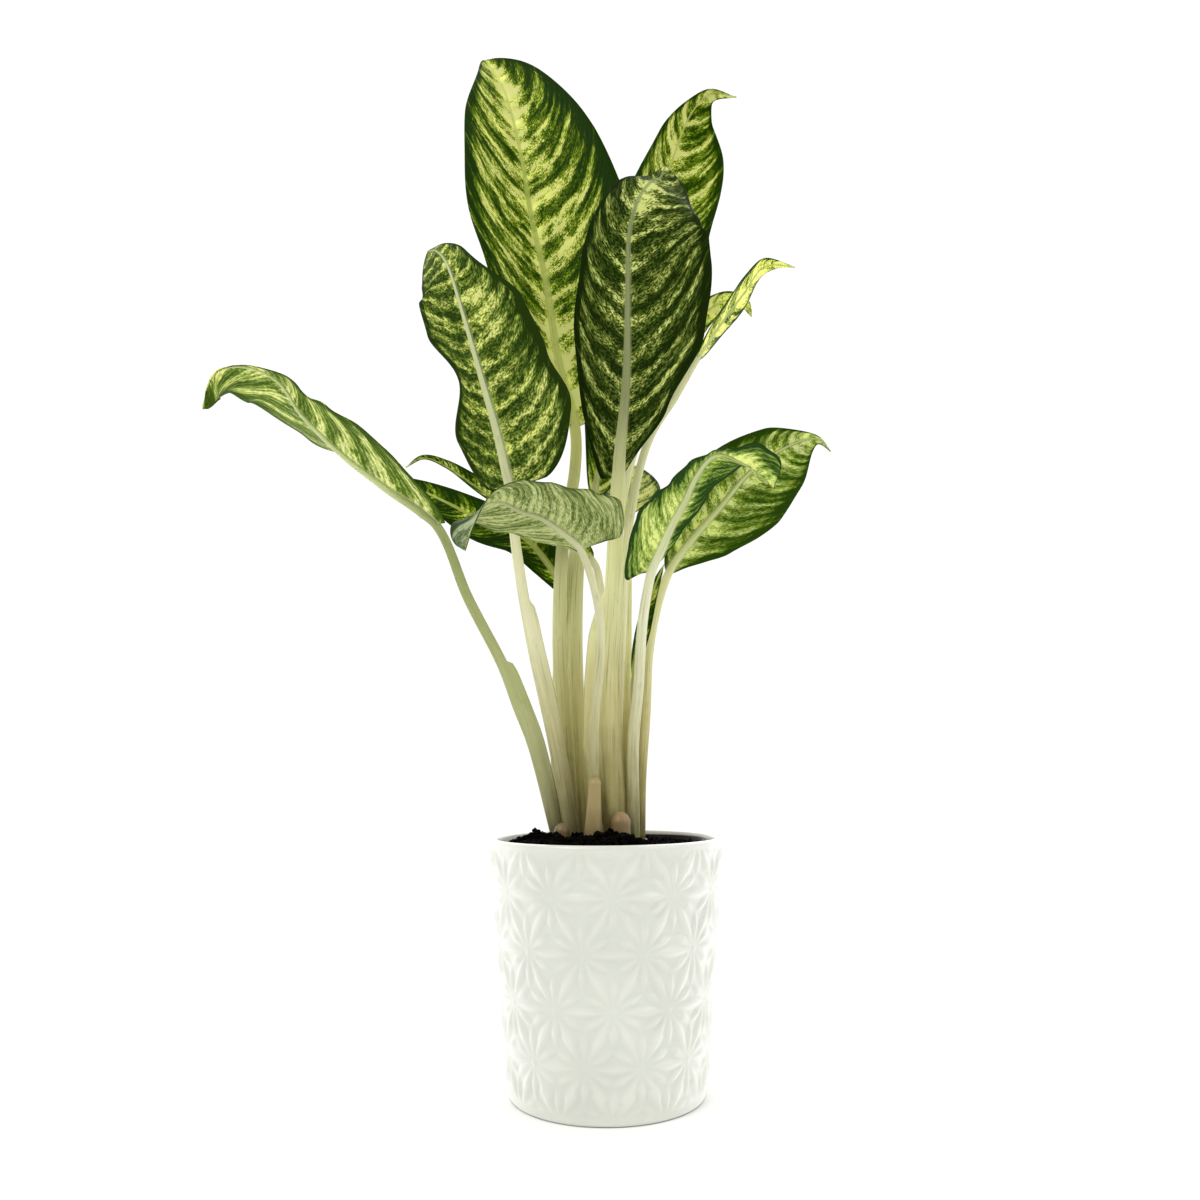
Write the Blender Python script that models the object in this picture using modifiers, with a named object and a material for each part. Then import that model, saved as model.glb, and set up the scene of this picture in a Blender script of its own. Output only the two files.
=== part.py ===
"""Potted Chinese evergreen (Aglaonema): fourteen leaves on three canes, in a pot inside a cover pot.

Metres, +Z up. The origin is the centre of the cover pot's flat base, and the plant's front is -Y.
"""

from math import cos, exp, pi, radians, sin

import bmesh
import bpy
import numpy as np

# Driving dimensions
COVER_TOP_RADIUS = 0.066
COVER_FOOT_RADIUS = 0.054
COVER_HEIGHT = 0.137
COVER_WALL = 0.004
COVER_FLOOR = 0.005
COVER_SEGMENTS = 56

GROW_RIM_RADIUS = 0.0585
GROW_TOP_RADIUS = 0.0570
GROW_FOOT_RADIUS = 0.0450
GROW_HEIGHT = 0.1245
GROW_WALL = 0.0012
GROW_LEAN = radians(2.5)  # the grow pot stands a little crooked, its right side higher
GROW_SHIFT = 0.0032
GROW_SEGMENTS = 48
DRAIN_RADIUS = 0.004
DRAIN_RING = 0.028

GAP = 0.0003  # between pieces that touch
SOIL_LEVEL = 0.1275
MOUND_HEIGHT = 0.0075
MOUND_SPREAD = 0.026
MOUND_CENTRE = (-0.010, -0.002)

CANE_TOP = 0.1360
CANE_FOOT = 0.0900
LEAF_FOOT = CANE_TOP + GAP

BLADE_THICKNESS = 0.0006
LATERALS = (1.0, 0.68, 0.34, 0.0, -0.34, -0.68, -1.0)  # across a blade, as fractions of its half width
BLADE_STATIONS = (0.02, 0.05, 0.10, 0.17, 0.25, 0.34, 0.43, 0.52, 0.61, 0.70, 0.79, 0.87, 0.94, 1.0)
STALK_STATIONS = 9
CURVE_STEPS = 24
FRONT = np.array([0.0, -1.0, 0.0])

# Canes: the middle of the ellipse where the leaf stalks stand, and its half axes along X and Y
CANES = {
    "cane_left": dict(middle=(-0.0205, 0.0010), half=(0.0122, 0.0150)),
    "cane_middle": dict(middle=(0.0010, -0.0030), half=(0.0082, 0.0175)),
    "cane_right": dict(middle=(0.0172, 0.0010), half=(0.0072, 0.0160)),
}

# Young shoots that break through the soil in front of the canes: place, radius and height over the soil
SHOOTS = {
    "shoot_tall": dict(place=(-0.0040, -0.0250), radius=0.0035, top=0.1660),
    "shoot_stub": dict(place=(0.0110, -0.0210), radius=0.0048, top=0.1455),
    "shoot_bud": dict(place=(-0.0220, -0.0200), radius=0.0032, top=0.1425),
}
SHOOT_FOOT = 0.1150

# Leaves. stalk and rib are the points that the stalk and the blade's midrib pass through.
# facing turns the blade's upper face round the midrib, 0 towards the front. right and left are the
# half widths from base to tip, which an oval outline multiplies: widest is where it is broadest, and
# round and point shape its two ends. fold lifts the halves from the midrib, and curl bends them on.
# girth is the stalk's half width from foot to blade.
LEAVES = {
    "leaf_back_tall": dict(
        stalk=[(-0.0200, 0.0060, LEAF_FOOT), (-0.023, 0.008, 0.180), (-0.027, 0.010, 0.252),
               (-0.025, 0.016, 0.315), (-0.018, 0.026, 0.363)],
        rib=[(-0.018, 0.034, 0.394), (-0.029, 0.040, 0.439), (-0.039, 0.046, 0.505),
             (-0.049, 0.050, 0.554), (-0.058, 0.056, 0.611), (-0.071, 0.064, 0.665),
             (-0.085, 0.074, 0.696)],
        facing=22, right=[0.060, 0.064, 0.068, 0.066, 0.058], left=[0.046, 0.054, 0.057, 0.056, 0.040],
        widest=0.45, round=0.55, point=0.60, fold=[26, 26, 24], curl=[0, 6, 16], curl_left=[0, -6, -16],
        girth=[0.0042, 0.0042, 0.0038, 0.0034]),
    "leaf_back_right": dict(
        stalk=[(-0.0125, 0.0100, LEAF_FOOT), (-0.0155, 0.018, 0.180), (-0.018, 0.026, 0.253),
               (-0.015, 0.038, 0.317)],
        rib=[(-0.007, 0.048, 0.352), (-0.003, 0.054, 0.372), (0.005, 0.064, 0.418),
             (0.019, 0.072, 0.481), (0.033, 0.077, 0.545), (0.050, 0.078, 0.608),
             (0.068, 0.075, 0.653), (0.081, 0.070, 0.664), (0.099, 0.062, 0.655)],
        facing=25, right=[0.036, 0.040, 0.042, 0.044, 0.056, 0.018],
        left=[0.026, 0.034, 0.034, 0.034, 0.032, 0.010],
        widest=0.50, round=0.50, point=0.80, fold=[20, 24, 26], curl=[0],
        girth=[0.0036, 0.0038, 0.0036, 0.0030]),
    "leaf_front_tall": dict(
        stalk=[(0.0030, -0.0130, LEAF_FOOT), (0.001, -0.014, 0.191), (0.001, -0.015, 0.220),
               (0.005, -0.018, 0.277)],
        rib=[(0.009, -0.022, 0.345), (0.014, -0.032, 0.402), (0.015, -0.044, 0.450),
             (0.016, -0.054, 0.481), (0.021, -0.058, 0.499), (0.028, -0.054, 0.512),
             (0.035, -0.042, 0.523), (0.039, -0.034, 0.536)],
        facing=172, right=[0.030, 0.034, 0.034, 0.030, 0.026, 0.014],
        left=[0.016, 0.032, 0.046, 0.050, 0.055, 0.048],
        widest=0.50, round=0.45, point=0.60, fold=[8, 8, 10], curl=[0, 6], lobe_right=0.010,
        girth=[0.0045, 0.0048, 0.0044, 0.0036]),
    "leaf_left_upright": dict(
        stalk=[(-0.0190, -0.0080, LEAF_FOOT), (-0.030, -0.013, 0.196), (-0.042, -0.022, 0.250),
               (-0.050, -0.029, 0.299)],
        rib=[(-0.054, -0.035, 0.335), (-0.060, -0.040, 0.363), (-0.069, -0.048, 0.395),
             (-0.079, -0.058, 0.430), (-0.088, -0.060, 0.458), (-0.096, -0.050, 0.472),
             (-0.104, -0.036, 0.480)],
        facing=158, right=[0.044, 0.038, 0.019, 0.034, 0.040, 0.060],
        left=[0.058, 0.052, 0.040, 0.037, 0.019, 0.012],
        widest=0.42, round=0.42, point=0.55, fold=[20, 20, 16], curl=[0], lobe_right=0.004,
        lobe_left=0.004,
        girth=[0.0038, 0.0036, 0.0030, 0.0027]),
    "leaf_far_left": dict(
        stalk=[(-0.0270, -0.0070, LEAF_FOOT), (-0.0405, -0.015, 0.189), (-0.049, -0.019, 0.211),
               (-0.0575, -0.022, 0.233), (-0.077, -0.030, 0.271)],
        rib=[(-0.095, -0.038, 0.312), (-0.122, -0.044, 0.332), (-0.145, -0.050, 0.349),
             (-0.167, -0.060, 0.370), (-0.177, -0.070, 0.3845), (-0.191, -0.082, 0.388),
             (-0.2025, -0.090, 0.3825), (-0.2055, -0.093, 0.374), (-0.207, -0.094, 0.360)],
        facing=112, right=[0.024, 0.030, 0.034, 0.035, 0.037, 0.043, 0.038, 0.038, 0.030],
        left=[0.026, 0.030, 0.031, 0.033, 0.027, 0.014, 0.005, 0.003, 0.003],
        widest=0.40, round=0.60, point=0.55, fold=[70, 45, 12, -20, -60], fold_left=[12, 6, 0],
        curl=[0], lobe_left=0.010,
        girth=[0.0036, 0.0036, 0.0030, 0.0026]),
    "leaf_left_low": dict(
        stalk=[(-0.0265, 0.0080, LEAF_FOOT), (-0.030, 0.016, 0.192), (-0.029, 0.024, 0.241)],
        rib=[(-0.026, 0.028, 0.283), (-0.040, 0.030, 0.309), (-0.052, 0.032, 0.321),
             (-0.073, 0.034, 0.330), (-0.105, 0.036, 0.347), (-0.135, 0.038, 0.362)],
        facing=20, right=[0.014], left=[0.018, 0.020, 0.014],
        widest=0.40, round=0.60, point=0.60, fold=[15], curl=[0],
        girth=[0.0028, 0.0028, 0.0024, 0.0022]),
    "leaf_front_small": dict(
        stalk=[(-0.0055, -0.0125, LEAF_FOOT), (-0.006, -0.026, 0.200), (-0.002, -0.029, 0.241),
               (-0.004, -0.033, 0.268)],
        rib=[(-0.013, -0.042, 0.296), (-0.020, -0.054, 0.301), (-0.034, -0.072, 0.307),
             (-0.043, -0.084, 0.307), (-0.052, -0.098, 0.308), (-0.059, -0.107, 0.304),
             (-0.064, -0.110, 0.293), (-0.068, -0.108, 0.281)],
        facing=160, right=[0.008, 0.013, 0.016, 0.018, 0.022, 0.024, 0.024, 0.026, 0.026],
        left=[0.044, 0.041, 0.030, 0.023, 0.024, 0.021, 0.018, 0.018, 0.018],
        widest=0.30, round=0.35, point=0.40, fold=[5, 5, 5, 5, 60], fold_left=[5], curl=[0],
        lobe_left=0.010,
        girth=[0.0026, 0.0028, 0.0024, 0.0021]),
    "leaf_left_narrow": dict(
        stalk=[(-0.0030, 0.0010, LEAF_FOOT), (-0.003, 0.000, 0.192), (-0.002, 0.002, 0.245),
               (-0.002, 0.006, 0.282)],
        rib=[(-0.007, 0.010, 0.301), (-0.027, 0.010, 0.314), (-0.051, 0.008, 0.328),
             (-0.076, 0.004, 0.344), (-0.096, -0.002, 0.357), (-0.109, -0.006, 0.361),
             (-0.119, -0.008, 0.355)],
        facing=45, right=[0.018, 0.014, 0.010, 0.010], left=[0.012, 0.010, 0.007, 0.007],
        widest=0.40, round=0.60, point=0.90, fold=[25], curl=[0],
        girth=[0.0028, 0.0028, 0.0026, 0.0022]),
    "leaf_right_front": dict(
        stalk=[(0.0160, -0.0095, LEAF_FOOT), (0.016, -0.015, 0.191), (0.019, -0.018, 0.219),
               (0.022, -0.025, 0.259)],
        rib=[(0.027, -0.032, 0.285), (0.032, -0.036, 0.296), (0.038, -0.042, 0.309),
             (0.045, -0.048, 0.321), (0.051, -0.058, 0.333), (0.057, -0.070, 0.339),
             (0.062, -0.084, 0.337), (0.069, -0.094, 0.330), (0.077, -0.098, 0.323),
             (0.085, -0.100, 0.314)],
        facing=185, right=[0.032, 0.028, 0.024, 0.018, 0.012, 0.008, 0.003, 0.004, 0.012, 0.036, 0.060],
        left=[0.004, 0.008, 0.011, 0.017, 0.016, 0.016],
        widest=0.40, round=0.45, point=0.50, fold=[16, 12, 8, 42], fold_left=[16, 12, 6], curl=[0],
        lobe_right=0.016,
        girth=[0.0034, 0.0034, 0.0030, 0.0027]),
    "leaf_right_back": dict(
        stalk=[(0.0195, 0.0010, LEAF_FOOT), (0.0205, 0.003, 0.169), (0.024, 0.008, 0.208),
               (0.028, 0.014, 0.252)],
        rib=[(0.040, 0.020, 0.294), (0.054, 0.026, 0.315), (0.076, 0.032, 0.341),
             (0.094, 0.038, 0.363), (0.121, 0.046, 0.384), (0.144, 0.052, 0.392),
             (0.153, 0.054, 0.384)],
        facing=185, right=[0.020, 0.024, 0.028, 0.024, 0.004], left=[0.018, 0.030, 0.036, 0.034, 0.004],
        widest=0.50, round=0.60, point=0.60, fold=[10], curl=[0],
        girth=[0.0034, 0.0034, 0.0030, 0.0026]),
    "leaf_middle_back": dict(
        stalk=[(0.0141, 0.0087, LEAF_FOOT), (0.0132, 0.016, 0.192), (0.014, 0.022, 0.241),
               (0.015, 0.030, 0.286)],
        rib=[(0.016, 0.040, 0.337), (0.018, 0.062, 0.355), (0.019, 0.086, 0.373),
             (0.022, 0.110, 0.393)],
        facing=0, right=[0.021], left=[0.021],
        widest=0.45, round=0.60, point=0.80, fold=[10], curl=[0],
        girth=[0.0026, 0.0028, 0.0026, 0.0024]),
    "leaf_right_narrow": dict(
        stalk=[(0.0055, -0.0030, LEAF_FOOT), (0.007, -0.004, 0.192), (0.010, -0.005, 0.250),
               (0.016, 0.002, 0.324), (0.029, 0.010, 0.378), (0.046, 0.014, 0.407)],
        rib=[(0.061, 0.020, 0.435), (0.078, 0.028, 0.463), (0.096, 0.036, 0.490),
             (0.109, 0.042, 0.510), (0.120, 0.046, 0.515), (0.133, 0.048, 0.514)],
        facing=76, right=[0.015, 0.015, 0.015, 0.012, 0.006], left=[0.015, 0.015, 0.015, 0.012, 0.006],
        widest=0.45, round=0.60, point=0.80, fold=[0], curl=[0],
        girth=[0.0028, 0.0028, 0.0026, 0.0022]),
    "leaf_right_hidden": dict(
        stalk=[(0.0010, 0.0095, LEAF_FOOT), (-0.001, 0.018, 0.192), (0.003, 0.024, 0.255),
               (0.013, 0.034, 0.346)],
        rib=[(0.031, 0.048, 0.411), (0.054, 0.056, 0.462), (0.073, 0.062, 0.489),
             (0.089, 0.067, 0.500), (0.101, 0.070, 0.499), (0.106, 0.071, 0.489)],
        facing=60, right=[0.012], left=[0.012],
        widest=0.45, round=0.60, point=0.80, fold=[10], curl=[0],
        girth=[0.0028, 0.0028, 0.0024, 0.0020]),
    "leaf_rolled_young": dict(
        stalk=[(0.0196, 0.0093, LEAF_FOOT), (0.0196, 0.0103, 0.180), (0.0175, 0.009, 0.210)],
        rib=[(0.0175, 0.007, 0.227), (0.021, 0.004, 0.248), (0.027, 0.001, 0.273),
             (0.036, 0.000, 0.296)],
        facing=0, right=[0.005], left=[0.005],
        widest=0.45, round=0.60, point=0.80, fold=[30], curl=[0],
        girth=[0.0022, 0.0022, 0.0020, 0.0018]),
}

for old in list(bpy.data.objects):
    bpy.data.objects.remove(old, do_unlink=True)

plant = bpy.data.collections.new("potted_chinese_evergreen")
cutters = bpy.data.collections.new("cutters")
bpy.context.scene.collection.children.link(plant)
bpy.context.scene.collection.children.link(cutters)


def material(name, colour, roughness, metallic=0.0):
    """A Principled material of one colour, given as linear red, green and blue."""
    made = bpy.data.materials.new(name)
    made.use_nodes = True
    shader = made.node_tree.nodes["Principled BSDF"]
    shader.inputs["Base Color"].default_value = (*colour, 1.0)
    shader.inputs["Roughness"].default_value = roughness
    shader.inputs["Metallic"].default_value = metallic
    return made


def place(name, mesh, finish, collection=plant):
    """An object for a mesh, linked to a collection, with its material."""
    piece = bpy.data.objects.new(name, mesh)
    collection.objects.link(piece)
    mesh.materials.append(finish)
    return piece


def as_cutter(piece):
    """Marks a piece as a tool that only cuts."""
    piece.hide_render = True
    piece.display_type = "WIRE"


def turned(name, profile, segments, finish, collection=plant):
    """A closed profile of (radius, height) points turned round Z."""
    mesh = bpy.data.meshes.new(name)
    count = len(profile)
    mesh.from_pydata([(radius, 0.0, height) for radius, height in profile],
                     [(i, i + 1) for i in range(count - 1)], [])
    piece = place(name, mesh, finish, collection)
    screw = piece.modifiers.new("turn", "SCREW")
    screw.steps = segments
    screw.render_steps = segments
    screw.use_merge_vertices = True
    screw.merge_threshold = 0.00005
    mesh.shade_smooth()
    return piece


def evaluated_mesh(piece):
    """A new mesh of a piece with its modifiers applied and its double points merged."""
    graph = bpy.context.evaluated_depsgraph_get()
    mesh = bpy.data.meshes.new_from_object(piece.evaluated_get(graph))
    work = bmesh.new()
    work.from_mesh(mesh)
    bmesh.ops.remove_doubles(work, verts=work.verts, dist=0.00002)
    bmesh.ops.recalc_face_normals(work, faces=work.faces)
    work.to_mesh(mesh)
    work.free()
    return mesh


def cut(piece, tool):
    """Subtracts a cutter from a piece."""
    boolean = piece.modifiers.new("cut_" + tool.name, "BOOLEAN")
    boolean.operation = "DIFFERENCE"
    boolean.solver = "EXACT"
    boolean.object = tool


def arc(centre, radius, start, end, steps):
    """Points on a round edge of a profile, with angles in degrees from the outward direction."""
    angles = [radians(start + (end - start) * i / steps) for i in range(steps + 1)]
    return [(centre[0] + radius * cos(angle), centre[1] + radius * sin(angle)) for angle in angles]


def build_cover_pot():
    """The ceramic pot: straight tapered wall, rounded rim, flat base with a rounded edge."""
    glaze = material("glazed_ceramic_white", (0.80, 0.82, 0.79), 0.30)
    lip = COVER_WALL / 2
    foot_edge = 0.002
    inner_foot = COVER_FOOT_RADIUS - COVER_WALL
    profile = [(0.0, 0.0)]
    profile += reversed(arc((COVER_FOOT_RADIUS - foot_edge, foot_edge), foot_edge, 0, -90, 3))
    profile += arc((COVER_TOP_RADIUS - lip, COVER_HEIGHT - lip), lip, 0, 180, 6)
    profile += [(inner_foot, COVER_FLOOR + 0.003), (inner_foot - 0.003, COVER_FLOOR)]
    profile += [(0.0, COVER_FLOOR)]
    profile.reverse()
    return turned("cover_pot", profile, COVER_SEGMENTS, glaze)


def lean(piece):
    """Stands a piece crooked with the grow pot, its lowest edge just over the cover pot's floor."""
    drop = GROW_FOOT_RADIUS * sin(GROW_LEAN)
    piece.rotation_euler = (0.0, -GROW_LEAN, 0.0)
    piece.location = (GROW_SHIFT, 0.0, COVER_FLOOR + GAP + drop)


def build_grow_pot():
    """The thin plastic nursery pot, with a rolled rim and four drain holes in its base."""
    plastic = material("moulded_plastic_brown", (0.055, 0.028, 0.020), 0.50)
    rim_depth = 0.006
    inner_top = GROW_TOP_RADIUS - GROW_WALL
    inner_foot = GROW_FOOT_RADIUS - GROW_WALL
    profile = [
        (0.0, 0.0), (GROW_FOOT_RADIUS, 0.0), (GROW_TOP_RADIUS, GROW_HEIGHT - rim_depth),
        (GROW_RIM_RADIUS, GROW_HEIGHT - rim_depth), (GROW_RIM_RADIUS, GROW_HEIGHT),
        (inner_top, GROW_HEIGHT),
        (inner_foot, GROW_WALL), (0.0, GROW_WALL),
    ]
    profile.reverse()
    pot = turned("grow_pot", profile, GROW_SEGMENTS, plastic)
    lean(pot)
    for index in range(4):
        angle = pi / 4 + index * pi / 2
        bpy.ops.mesh.primitive_cylinder_add(vertices=16, radius=DRAIN_RADIUS, depth=0.01)
        drill = bpy.context.object
        drill.name = f"drain_drill_{index + 1}"
        drill.users_collection[0].objects.unlink(drill)
        cutters.objects.link(drill)
        as_cutter(drill)
        drill.parent = pot
        drill.location = (DRAIN_RING * cos(angle), DRAIN_RING * sin(angle), 0.0)
        cut(pot, drill)
    return pot


def soil_surface(x, y):
    """Height of the soil at a place: level, with a mound round the canes."""
    away = ((x - MOUND_CENTRE[0]) ** 2 + (y - MOUND_CENTRE[1]) ** 2) / (2 * MOUND_SPREAD ** 2)
    return SOIL_LEVEL + MOUND_HEIGHT * exp(-away)


def build_soil():
    """The potting soil: fills the grow pot, with a mound and sockets for the canes and shoots."""
    earth = material("potting_soil", (0.012, 0.008, 0.006), 0.95)
    wall_slope = (GROW_TOP_RADIUS - GROW_FOOT_RADIUS) / (GROW_HEIGHT - 0.006)
    foot = GROW_WALL + GAP
    top = 0.1150
    foot_radius = GROW_FOOT_RADIUS - GROW_WALL - GAP
    top_radius = foot_radius + wall_slope * (top - foot) * 0.985
    rings = 7
    profile = [(0.0, foot), (foot_radius, foot), (top_radius, top)]
    profile += [(top_radius * (rings - i) / rings, top) for i in range(1, rings + 1)]
    profile.reverse()
    blank = turned("soil_blank", profile, GROW_SEGMENTS, earth)
    lean(blank)
    bpy.context.view_layer.update()
    mesh = evaluated_mesh(blank)
    to_world = blank.matrix_world.copy()
    to_local = to_world.inverted()
    for point in mesh.vertices:
        if point.co.z > top - 0.0001:
            spot = to_world @ point.co
            spot.z = soil_surface(spot.x, spot.y)
            point.co = to_local @ spot
    bpy.data.objects.remove(blank, do_unlink=True)
    soil = place("potting_soil", mesh, earth)
    soil.matrix_world = to_world
    return soil


def build_cane(name, spec, soil):
    """A cane's top end: an oval stub that stands in a socket of the soil and carries leaf stalks."""
    bark = material("cane_bark_" + name, (0.30, 0.27, 0.14), 0.60)
    middle, half = spec["middle"], spec["half"]
    for grow, collection, suffix in ((0.0, plant, ""), (GAP, cutters, "_socket")):
        height = CANE_TOP - CANE_FOOT + 2 * grow
        work = bmesh.new()
        bmesh.ops.create_cone(work, cap_ends=True, segments=24, radius1=1.0, radius2=1.0, depth=height)
        for point in work.verts:
            taper = 0.8 if point.co.z < 0 else 1.0
            point.co.x *= (half[0] * taper + grow)
            point.co.y *= (half[1] * taper + grow)
        mesh = bpy.data.meshes.new(name + suffix)
        work.to_mesh(mesh)
        work.free()
        piece = place(name + suffix, mesh, bark, collection)
        piece.location = (middle[0], middle[1], (CANE_TOP + CANE_FOOT) / 2)
        if suffix:
            as_cutter(piece)
            cut(soil, piece)


def build_shoot(name, spec, soil):
    """A blunt young shoot: a round-tipped cone that comes up through the soil."""
    skin = material("young_shoot_" + name, (0.62, 0.48, 0.34), 0.45)
    for grow, collection, suffix in ((0.0, plant, ""), (GAP, cutters, "_socket")):
        radius = spec["radius"] + grow
        dome = arc((0.0, spec["top"] - radius), radius, 0, 90, 5)
        profile = [(0.0, SHOOT_FOOT - grow), (radius * 0.9, SHOOT_FOOT - grow)] + dome
        profile.reverse()
        piece = turned(name + suffix, profile, 20, skin, collection)
        piece.location = (*spec["place"], 0.0)
        if suffix:
            as_cutter(piece)
            cut(soil, piece)


def unit(vector):
    return vector / np.linalg.norm(vector)


def smooth_route(points):
    """A smooth curve through hand-set points: a centripetal Catmull-Rom spline, sampled finely."""
    knots = np.asarray(points, float)
    knots = np.vstack([2 * knots[0] - knots[1], knots, 2 * knots[-1] - knots[-2]])
    samples = []
    for i in range(1, len(knots) - 2):
        p0, p1, p2, p3 = knots[i - 1:i + 3]
        t0 = 0.0
        t1 = t0 + np.linalg.norm(p1 - p0) ** 0.5
        t2 = t1 + np.linalg.norm(p2 - p1) ** 0.5
        t3 = t2 + np.linalg.norm(p3 - p2) ** 0.5
        for k in range(CURVE_STEPS):
            t = t1 + (t2 - t1) * k / CURVE_STEPS
            a1 = (t1 - t) / (t1 - t0) * p0 + (t - t0) / (t1 - t0) * p1
            a2 = (t2 - t) / (t2 - t1) * p1 + (t - t1) / (t2 - t1) * p2
            a3 = (t3 - t) / (t3 - t2) * p2 + (t - t2) / (t3 - t2) * p3
            b1 = (t2 - t) / (t2 - t0) * a1 + (t - t0) / (t2 - t0) * a2
            b2 = (t3 - t) / (t3 - t1) * a2 + (t - t1) / (t3 - t1) * a3
            samples.append((t2 - t) / (t2 - t1) * b1 + (t - t1) / (t2 - t1) * b2)
    samples.append(knots[-2])
    return np.array(samples)


def at_lengths(route, fractions):
    """Points at fractions of a sampled curve's length."""
    steps = np.linalg.norm(np.diff(route, axis=0), axis=1)
    length = np.concatenate([[0.0], np.cumsum(steps)])
    wanted = np.asarray(fractions) * length[-1]
    return np.stack([np.interp(wanted, length, route[:, axis]) for axis in range(3)], -1)


def spread(values, where):
    """Evenly spaced values eased from one to the next, read at fractions of the way."""
    values = np.asarray(values, float)
    if len(values) == 1:
        return np.full(len(where), values[0])
    scaled = np.clip(where, 0, 1) * (len(values) - 1)
    index = np.minimum(scaled.astype(int), len(values) - 2)
    ease = scaled - index
    ease = ease * ease * (3 - 2 * ease)
    return values[index] * (1 - ease) + values[index + 1] * ease


def carried_frames(points, tangents, first):
    """Normals carried along a curve without twist from a first one."""
    normals = [first]
    for tangent in tangents[1:]:
        last = normals[-1]
        normals.append(unit(last - tangent * (last @ tangent)))
    return np.array(normals)


def leaf_sections(spec):
    """Closed rings of points along a leaf: oval ones up the stalk, then thin ones across the blade."""
    route = smooth_route(spec["stalk"] + spec["rib"])
    joint = len(spec["stalk"]) * CURVE_STEPS
    stalk_at = np.linspace(0, 1, STALK_STATIONS)
    blade_at = np.array((0.0,) + BLADE_STATIONS)
    stalk = at_lengths(route[:joint + 1], stalk_at)
    blade = at_lengths(route[joint:], blade_at)
    points = np.vstack([stalk[:-1], blade])
    tangents = np.gradient(points, axis=0)
    tangents[0] = (0.0, 0.0, 1.0)
    tangents = tangents / np.linalg.norm(tangents, axis=1)[:, None]
    base = STALK_STATIONS - 1
    turn = radians(spec["facing"])
    facing = unit(FRONT - tangents[base] * (FRONT @ tangents[base]))
    facing = facing * cos(turn) + np.cross(tangents[base], facing) * sin(turn)
    blade_normals = carried_frames(points[base:], tangents[base:], facing)
    stalk_normals = carried_frames(points[base::-1], tangents[base::-1], facing)[::-1]
    normals = np.vstack([stalk_normals[:-1], blade_normals])
    sideways = np.cross(tangents, normals)

    rings = []
    laterals = np.array(LATERALS)
    girth = spread(spec["girth"], stalk_at)
    count = len(LATERALS)
    angles = (np.arange(count) + 0.5) * pi / count
    for i in range(STALK_STATIONS):
        wide, deep = girth[i], girth[i] * 0.8
        upper = [points[i] + sideways[i] * wide * cos(a) + normals[i] * deep * sin(a) for a in angles]
        lower = [points[i] - sideways[i] * wide * cos(a) - normals[i] * deep * sin(a) for a in angles]
        rings.append(upper + lower)

    widest = spec["widest"]
    rising = np.sin(pi / 2 * np.clip(blade_at / widest, 0, 1)) ** spec["round"]
    falling = np.cos(pi / 2 * np.clip((blade_at - widest) / (1 - widest), 0, 1)) ** spec["point"]
    outline = np.where(blade_at < widest, rising, falling)
    sides = {
        1: (spread(spec["right"], blade_at), spec["fold"], spec["curl"], spec.get("lobe_right", 0.0)),
        -1: (spread(spec["left"], blade_at), spec.get("fold_left", spec["fold"]),
             spec.get("curl_left", spec["curl"]), spec.get("lobe_left", 0.0)),
    }
    half = BLADE_THICKNESS / 2
    for k in range(1, len(blade_at)):
        i = base + k
        where = blade_at[k]
        upper, lower = [], []
        for lateral in laterals:
            side = 1 if lateral >= 0 else -1
            wide, fold, curl, lobe = sides[side]
            reach = max(wide[k] * outline[k], 0.0012)
            first = radians(spread(fold, blade_at)[k])
            bend = radians(spread(curl, blade_at)[k])
            out = abs(lateral)
            steps = 6
            across = np.zeros(3)
            for step in range(steps):
                angle = first + bend * out * (step + 0.5) / steps
                step_way = sideways[i] * side * cos(angle) + normals[i] * sin(angle)
                across += step_way * reach * out / steps
            angle = first + bend * out
            face = normals[i] * cos(angle) - sideways[i] * side * sin(angle)
            if lateral == 0:
                face = normals[i]
            back = -tangents[i] * lobe * out * exp(-(where / 0.10) ** 2) * min(1.0, where / 0.03)
            spot = points[i] + across + back
            rib = 0.0
            if lateral == 0:
                rib = girth[-1] * 0.9 * (1 - where) ** 1.3
            upper.append(spot + face * half)
            lower.append(spot - face * (half + rib))
        rings.append(upper + lower[::-1])
    return rings


def build_leaf(name, spec, finish):
    """One leaf, stalk and blade grown as one solid, lofted through its sections."""
    work = bmesh.new()
    rings = [[work.verts.new(point) for point in ring] for ring in leaf_sections(spec)]
    count = len(rings[0])
    for lower, upper in zip(rings, rings[1:]):
        for i in range(count):
            j = (i + 1) % count
            work.faces.new((lower[i], lower[j], upper[j], upper[i]))
    work.faces.new(rings[0][::-1])
    work.faces.new(rings[-1])
    bmesh.ops.recalc_face_normals(work, faces=work.faces)
    mesh = bpy.data.meshes.new(name)
    work.to_mesh(mesh)
    work.free()
    mesh.shade_smooth()
    return place(name, mesh, finish)


build_cover_pot()
build_grow_pot()
soil_piece = build_soil()
for cane_name, cane in CANES.items():
    build_cane(cane_name, cane, soil_piece)
for shoot_name, shoot in SHOOTS.items():
    build_shoot(shoot_name, shoot, soil_piece)
for leaf_name, leaf in LEAVES.items():
    green = material("variegated_leaf_" + leaf_name, (0.16, 0.28, 0.05), 0.42)
    build_leaf(leaf_name, leaf, green)
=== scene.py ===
import random
from math import atan2, cos, exp, hypot, pi, radians, sin

import bmesh
import bpy
import numpy as np
from mathutils import Matrix, Vector, noise


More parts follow.
